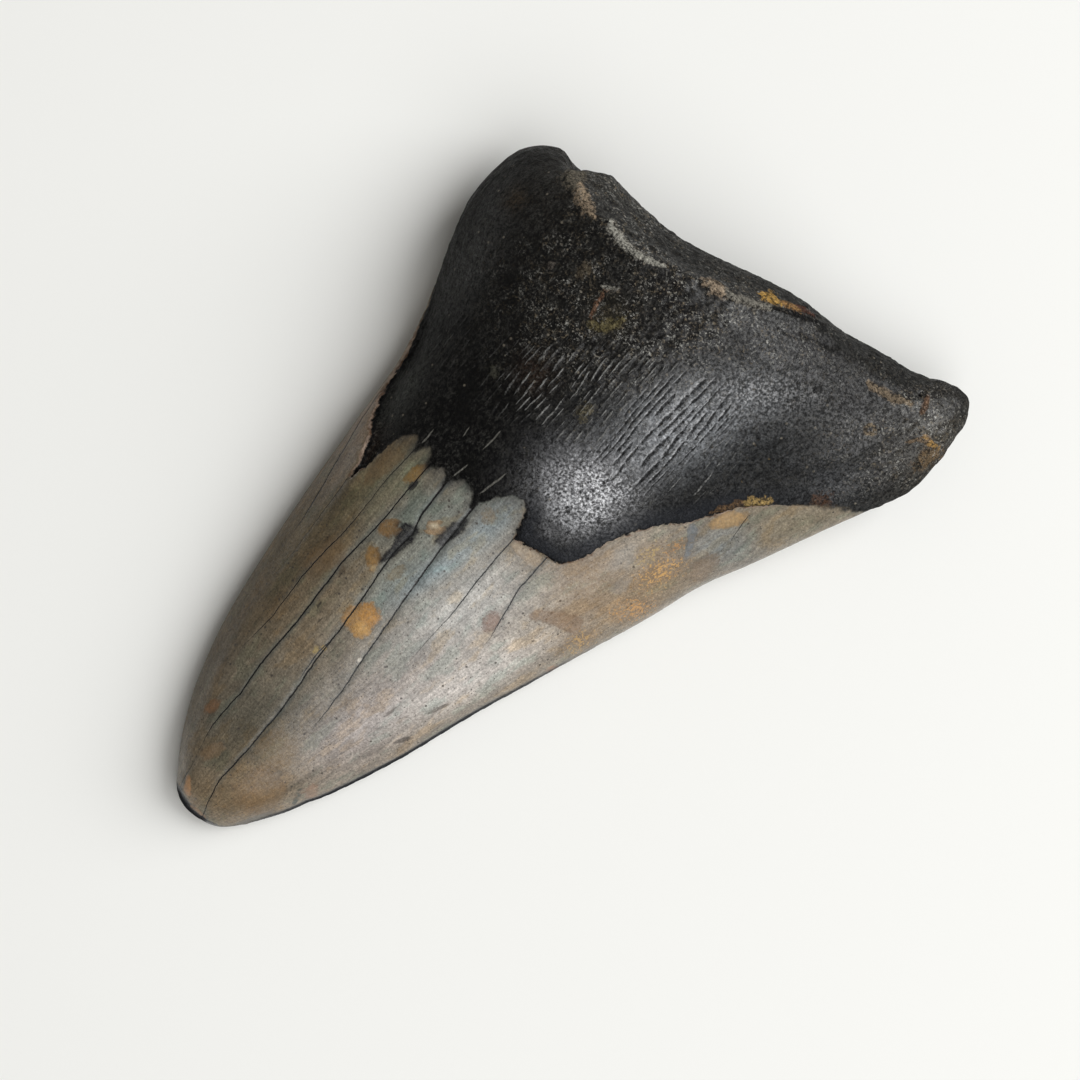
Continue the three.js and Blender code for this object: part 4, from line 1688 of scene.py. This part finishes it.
        edge = sheet.times_plus(sheet.swing(place, 1.1, 4.0, 0.7), dark, dark)
        colour = sheet.mix(sheet.remap(edge, 0.02, 0.3, 0.0, 0.5), colour, finish.edge_haze)
        colour = sheet.mix(sheet.remap(edge, 0.25, 0.55), colour, finish.edge_darkening)
        return sheet.mix(crack, colour, finish.crack)

    def granulated(self, colour: Source) -> Socket:
        """Lays the broken-up stain over the enamel as orange grains on a brown wash.

        Args:
            colour: the colour below.

        Returns:
            The colour with the grains.
        """
        sheet, depth = self.sheet, self.sheet.mark("granule")
        tint = sheet.attribute("granule_tint").outputs
        wash = sheet.times(sheet.remap(depth, -0.3, 0.7), 0.35)
        colour = sheet.mix(wash, colour, self.enamel.brown_wash)
        level = sheet.times_plus(depth, -0.16, 0.60)
        grain = sheet.noise(self.place, 2.1, 4.0, 0.7)
        grains = sheet.remap(grain, level, sheet.math("ADD", level, 0.09))
        shown = sheet.times(sheet.remap(depth, -0.35, 0.15), tint["Alpha"])
        return sheet.mix(sheet.times(grains, shown), colour, tint["Color"])

    def bone_colour(self) -> Socket:
        """Colours the root: black, with pale grains, a painted grey sheen on its worn places, painted
        light and shade, striations and crusts.

        Returns:
            The root's colour.
        """
        sheet, place, finish = self.sheet, self.place, self.bone
        colour = sheet.attribute("bone_tint").outputs["Color"]
        colour = self.mottled(colour, finish.mottles, place)
        colour = self.mottled(colour, finish.fibres, sheet.scaled(place, (1.0, 0.2, 1.0)))
        colour = self.grained(self.worn(self.creased(colour)))
        scattered = sheet.times_plus(sheet.mark("grainy"), 0.12, 0.06)
        flecks = self.kit.place(
            sheet, Effect.SPECKS, place=place, spacing=1.1, width=0.26, share=scattered
        )
        colour = sheet.mix(sheet.times(flecks, 0.6), colour, finish.fleck)
        colour = self.striated(colour)
        colour = sheet.mix(self.crack_lines("scratch"), colour, finish.scratch)
        pits = sheet.times(sheet.mark("pits"), sheet.mark("pitted"), 0.8)
        # painted shade in the pits
        colour = sheet.mix(pits, colour, finish.groove)
        band = sheet.remap(sheet.mark("enamel_side"), -3.4, -1.2)
        # painted shade along the root's lip
        colour = sheet.mix(sheet.times(band, sheet.mark("lip"), 0.82), colour, finish.lip_shade)
        colour = self.stained(colour, self.crust)
        # painted shade in the pores
        return sheet.mix(sheet.remap(sheet.mark("pores"), -0.25, 0.1), colour, finish.groove)

    def creased(self, colour: Source) -> Socket:
        """Draws fine leathery creases in colour only: painted light where they stand up and painted
        shade where they sink.

        Args:
            colour: the colour below.

        Returns:
            The creased colour.
        """
        sheet = self.sheet
        creases = sheet.noise(sheet.scaled(self.place, (1.0, 0.6, 1.0)), 1.9, 5.0, 0.78)
        spread = sheet.remap(sheet.noise(self.place, 0.22, 3.0, 0.6), 0.36, 0.58, 0.15, 1.0)
        raised = sheet.times(sheet.remap(creases, 0.47, 0.62), spread)
        # painted light on the raised creases
        colour = sheet.mix(raised, colour, self.bone.crease_light)
        unworn = sheet.remap(sheet.mark("sheen"), 0.5, 0.1, 0.25, 0.8)
        sunk = sheet.times(sheet.remap(creases, 0.51, 0.41), unworn)
        # painted shade in the sunk creases
        return sheet.mix(sunk, colour, self.bone.groove)

    def worn(self, colour: Source) -> Socket:
        """Paints a pale sheen on the grit's tops where the root is worn, and painted shade in its
        hollows.

        Args:
            colour: the colour below.

        Returns:
            The worn colour.
        """
        sheet = self.sheet
        grit = sheet.noise(self.place, 2.4, 3.0, 0.72)
        plain = sheet.times_plus(sheet.mark("ridge_zone"), -0.7, 1.0)
        worn = sheet.times(sheet.math("POWER", sheet.mark("sheen"), 3.0), plain)
        sheen_tops = sheet.times(sheet.remap(grit, 0.49, 0.60), worn)
        # painted sheen on the grit's tops
        colour = sheet.mix(sheet.times(sheen_tops, 0.9), colour, self.bone.painted_sheen)
        # painted shade in the grit's hollows
        shaded_hollows = sheet.times(sheet.remap(grit, 0.49, 0.39), plain)
        shaded_hollows = sheet.times(shaded_hollows, sheet.times_plus(sheen_tops, 0.2, 0.68))
        return sheet.mix(shaded_hollows, colour, self.bone.groove)

    def grained(self, colour: Source) -> Socket:
        """Scatters pale and brown grains over the root's grainy places.

        Args:
            colour: the colour below.

        Returns:
            The colour with the grains.
        """
        sheet, place = self.sheet, self.place
        patchy = sheet.remap(sheet.noise(place, 0.3, 3.0), 0.36, 0.6, 0.15, 1.0)
        tone = sheet.remap(sheet.noise(place, 0.9, 2.0), 0.4, 0.6)
        shade = sheet.mix(tone, self.bone.pale_grain, self.bone.brown_grain)
        for scale, low, amount in self.bone.pale_grains:
            pale = sheet.remap(sheet.noise(place, scale, 3.0, 0.75), low, low + 0.14, 0.0, amount)
            colour = sheet.mix(sheet.times(pale, patchy, sheet.mark("grainy")), colour, shade)
        return colour

    def striation_lines(self) -> Socket:
        """Masks the striations' short lines, which taper to their ends.

        Returns:
            The mask.
        """
        sheet = self.sheet
        away = sheet.math("ABSOLUTE", sheet.mark("ridges"))
        wobble = sheet.noise(self.place, 2.2, 3.0, 0.65)
        widest = sheet.remap(sheet.mark("sheen"), 0.25, 0.5, 0.5, 0.9)
        width = sheet.remap(sheet.mark("ridge_runs"), -0.05, 0.4, 0.0, widest)
        width = sheet.times(width, sheet.remap(wobble, 0.32, 0.62, 0.35, 1.15))
        line = sheet.remap(away, width, sheet.times(width, 0.4))
        return sheet.times(line, sheet.remap(width, 0.04, 0.12), sheet.mark("ridge_zone"))

    def striated(self, colour: Source) -> Socket:
        """Draws the striations: pale crests of painted highlight on black root, and where it is worn,
        grooves of painted shade with a painted highlight on one side.

        Args:
            colour: the colour below.

        Returns:
            The striated colour.
        """
        sheet = self.sheet
        sheen, strength = sheet.mark("sheen"), sheet.mark("ridge_zone")
        patchy = sheet.remap(sheet.noise(self.place, 0.42, 4.0, 0.65), 0.40, 0.6, 0.12, 1.0)
        # painted highlight on the crests
        crest_highlight = sheet.times(
            self.lines, sheet.remap(sheen, 0.45, 0.25), sheet.remap(strength, 0.0, 0.8), patchy
        )
        colour = sheet.mix(crest_highlight, colour, self.bone.crest_highlight)
        tattered = sheet.remap(sheet.noise(self.place, 1.3, 4.0, 0.7), 0.36, 0.56, 0.5, 1.0)
        grooved = sheet.remap(sheen, 0.3, 0.5)
        along = sheet.remap(sheet.mark("ridge_runs"), 0.0, 0.3)
        lit_side = sheet.remap(sheet.mark("ridge_lee"), -0.4, -0.95)
        # painted highlight on the side of each groove that faces the lamps
        bright = sheet.times(strength, grooved, along, lit_side, tattered, 0.35)
        colour = sheet.mix(bright, colour, self.bone.painted_sheen)
        # painted shade in the grooves
        groove = sheet.times(self.lines, tattered, grooved, 0.92)
        return sheet.mix(groove, colour, self.bone.groove)

    def polish(self) -> Socket:
        """Polishes the surface as the tooth's mark says, and leaves its crusts dull.

        Returns:
            The weight of the polish.
        """
        sheet, place = self.sheet, self.place
        clean = sheet.remap(sheet.mark("deposit"), 0.2, -0.2)
        scuffed = sheet.remap(sheet.noise(place, 2.0, 4.0, 0.75), 0.38, 0.6, 0.45, 1.15)
        gritty = sheet.remap(sheet.noise(place, 2.4, 3.0, 0.72), 0.40, 0.62, 0.35, 1.3)
        gritty = sheet.times(gritty, sheet.times_plus(self.lines, -0.7, 1.0))
        root = sheet.remap(sheet.mark("enamel_side"), 0.1, -0.1)
        return sheet.times(sheet.mark("polish"), clean, sheet.blend(root, scuffed, gritty))

    def seam(self, colour: Source) -> Socket:
        """Draws the seam between enamel and root: a dark line of painted shadow under the root's
        edge, and the enamel's broken rim.

        Args:
            colour: the colour below.

        Returns:
            The colour with the seam.
        """
        sheet, place, side = self.sheet, self.place, self.side
        torn, lip = sheet.mark("torn"), sheet.mark("lip")
        width = sheet.times_plus(torn, -0.04, 0.28)
        band = sheet.times(sheet.remap(side, -0.06, 0.06), sheet.remap(side, width, 0.15))
        patchy = sheet.times(sheet.remap(sheet.noise(place, 0.8, 3.0), 0.36, 0.56), lip)
        tone = sheet.remap(sheet.noise(place, 0.5, 2.0), 0.4, 0.6)
        rim = sheet.mix(tone, self.enamel.rim_brown, self.enamel.rim_pale)
        rim = self.mottled(rim, self.enamel.rim_mottles, place)
        colour = sheet.mix(sheet.times(band, sheet.math("MAXIMUM", patchy, torn)), colour, rim)
        # painted shadow line on the root just beside the enamel's edge
        line = sheet.times(sheet.remap(side, -0.34, -0.16), sheet.remap(side, 0.04, -0.08))
        line = sheet.times(line, sheet.math("MAXIMUM", torn, lip), 0.9)
        return sheet.mix(line, colour, self.bone.groove)

    def enamel_roughness(self) -> Socket:
        """Varies the enamel's satin, and makes its dark cutting edge dull.

        Returns:
            The enamel's roughness.
        """
        sheet, finish = self.sheet, self.enamel
        low, high = finish.roughness - 0.07, finish.roughness + 0.10
        satin = sheet.remap(sheet.noise(self.place, 1.6, 4.0, 0.7), 0.35, 0.65, low, high)
        dull = sheet.remap(sheet.mark("cutting_edge"), 0.1, 0.5)
        return sheet.blend(dull, satin, finish.edge_roughness)

    def bone_roughness(self) -> Socket:
        """Varies the root's gloss, and makes its grainy places and crusts dull.

        Returns:
            The root's roughness.
        """
        sheet, finish = self.sheet, self.bone
        low, high = finish.roughness - 0.07, finish.roughness + 0.12
        gloss = sheet.remap(sheet.noise(self.place, 0.9, 3.0), 0.3, 0.7, low, high)
        crusted = sheet.remap(sheet.mark("deposit"), -0.1, 0.3)
        dull = sheet.math("MAXIMUM", sheet.times(sheet.mark("grainy"), 0.8), crusted)
        return sheet.blend(dull, gloss, finish.dull_roughness)

    def enamel_height(self, crack: Source) -> Socket:
        """Raises the enamel's fine relief, in mm.

        Args:
            crack: the mask of the cracks.

        Returns:
            The height.
        """
        sheet, finish = self.sheet, self.enamel
        grain = self.kit.place(
            sheet, Effect.GRAIN, place=self.place, size=finish.grain_size, pitting=finish.pitting
        )
        streaks = sheet.times(sheet.noise(self.fanned, 1.2, 3.0), finish.streak_height)
        fine = sheet.math("ADD", sheet.times(grain, finish.grain_height), streaks)
        return sheet.math("SUBTRACT", fine, sheet.times(crack, finish.crack_depth))

    def bone_height(self) -> Socket:
        """Raises the root's fine relief, in mm.

        Returns:
            The height.
        """
        sheet, finish = self.sheet, self.bone
        grain = self.kit.place(
            sheet, Effect.GRAIN, place=self.place, size=finish.grain_size, pitting=finish.pitting
        )
        coarse = sheet.times_plus(sheet.mark("grainy"), 0.7, 0.6)
        fine = sheet.times(grain, coarse, finish.grain_height)
        grit = sheet.remap(sheet.noise(self.place, 2.7, 3.0, 0.7), 0.37, 0.6)
        fine = sheet.times_plus(grit, finish.grit_height, fine)
        pits = sheet.times(sheet.mark("pits"), sheet.mark("pitted"))
        fine = sheet.times_plus(pits, -finish.pit_depth, fine)
        raised = sheet.times_plus(sheet.mark("sheen"), -0.24, 0.12)
        return sheet.times_plus(self.lines, raised, fine)


# ---------------------------------------------------------------- the studio


@dataclass(frozen=True)
class Lamp:
    """A round soft lamp that faces the tooth."""

    name: str
    place: tuple[float, float, float]
    size: float
    watts: float

    def hang(self) -> None:
        """Hangs the lamp in its place."""
        bpy.ops.object.light_add(type="AREA", location=self.place)
        lamp = bpy.context.active_object
        lamp.name = self.name
        lamp.data.shape = "DISK"
        lamp.data.size = self.size
        lamp.data.energy = self.watts
        lamp.rotation_mode = "QUATERNION"
        lamp.rotation_quaternion = (-Vector(self.place)).to_track_quat("-Z", "Y")


@dataclass
class Studio:
    """A pale floor, two large soft lamps with a dim surround, and a camera that looks down."""

    floor_half: float = 1.6
    floor_colour: Colour = (0.84, 0.845, 0.825)
    floor_roughness: float = 0.9
    floor_gloss: float = 0.2
    surround: Colour = (1.0, 0.965, 0.90)
    surround_light: float = 0.2
    lamps: tuple[Lamp, ...] = (
        Lamp("front_lamp", (1.02, -0.26, 1.30), 1.6, 14.0),
        Lamp("side_lamp", (0.69, 1.18, 1.02), 1.7, 33.0),
    )
    lens: float = 90.0
    sensor: float = 36.0
    camera_height: float = 0.396
    camera_over: tuple[float, float] = (0.00537, 0.0029)
    camera_turn: float = 45.93

    def build(self) -> None:
        """Builds the floor, the lights and the camera."""
        self.add_floor()
        self.add_surround()
        log.info("floor and surround: laid")
        for lamp in self.lamps:
            lamp.hang()
            log.info("%s: hung", lamp.name)
        self.add_camera()
        log.info("camera: placed")
        bpy.context.scene.view_settings.view_transform = "Standard"

    def add_floor(self) -> None:
        """Lays the floor that the tooth rests on."""
        bpy.ops.object.select_all(action="DESELECT")
        bpy.ops.mesh.primitive_plane_add(size=2 * self.floor_half, location=(0, 0, 0))
        floor = bpy.context.active_object
        floor.name = "floor"
        material = bpy.data.materials.new("floor_paper")
        material.use_nodes = True
        skin = material.node_tree.nodes["Principled BSDF"]
        skin.inputs["Base Color"].default_value = (*self.floor_colour, 1.0)
        skin.inputs["Roughness"].default_value = self.floor_roughness
        skin.inputs["Specular IOR Level"].default_value = self.floor_gloss
        floor.data.materials.append(material)

    def add_surround(self) -> None:
        """Surrounds the scene with pale light, which lights less brightly than it looks."""
        world = bpy.data.worlds.new("surround")
        bpy.context.scene.world = world
        world.use_nodes = True
        world.node_tree.nodes.clear()
        sheet = Sheet(world.node_tree)
        seen = sheet.node("ShaderNodeLightPath", {}).outputs["Is Camera Ray"]
        strength = sheet.blend(seen, self.surround_light, 1.0)
        glow = sheet.node("ShaderNodeBackground", {"Color": self.surround, "Strength": strength})
        sheet.node("ShaderNodeOutputWorld", {0: glow.outputs[0]})

    def add_camera(self) -> None:
        """Puts the camera straight above the tooth."""
        bpy.ops.object.camera_add(
            location=(*self.camera_over, self.camera_height),
            rotation=(0.0, 0.0, math.radians(self.camera_turn)),
        )
        camera = bpy.context.active_object
        camera.name = "camera"
        camera.data.lens = self.lens
        camera.data.sensor_width = self.sensor
        camera.data.dof.use_dof = False
        bpy.context.scene.camera = camera


def main() -> None:
    """Builds the tooth and the studio."""
    logging.basicConfig(level=logging.INFO, format="%(name)s: %(message)s")
    piece = FossilTooth().build()
    piece.data.materials.append(ToothSurface().build())
    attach(piece, BODY)
    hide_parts(NODE)
    triangles = sum(len(face.vertices) - 2 for face in piece.data.polygons)
    log.info("%s: %d corners, %d triangles", piece.name, len(piece.data.vertices), triangles)
    Studio().build()


if __name__ == "__main__":
    main()
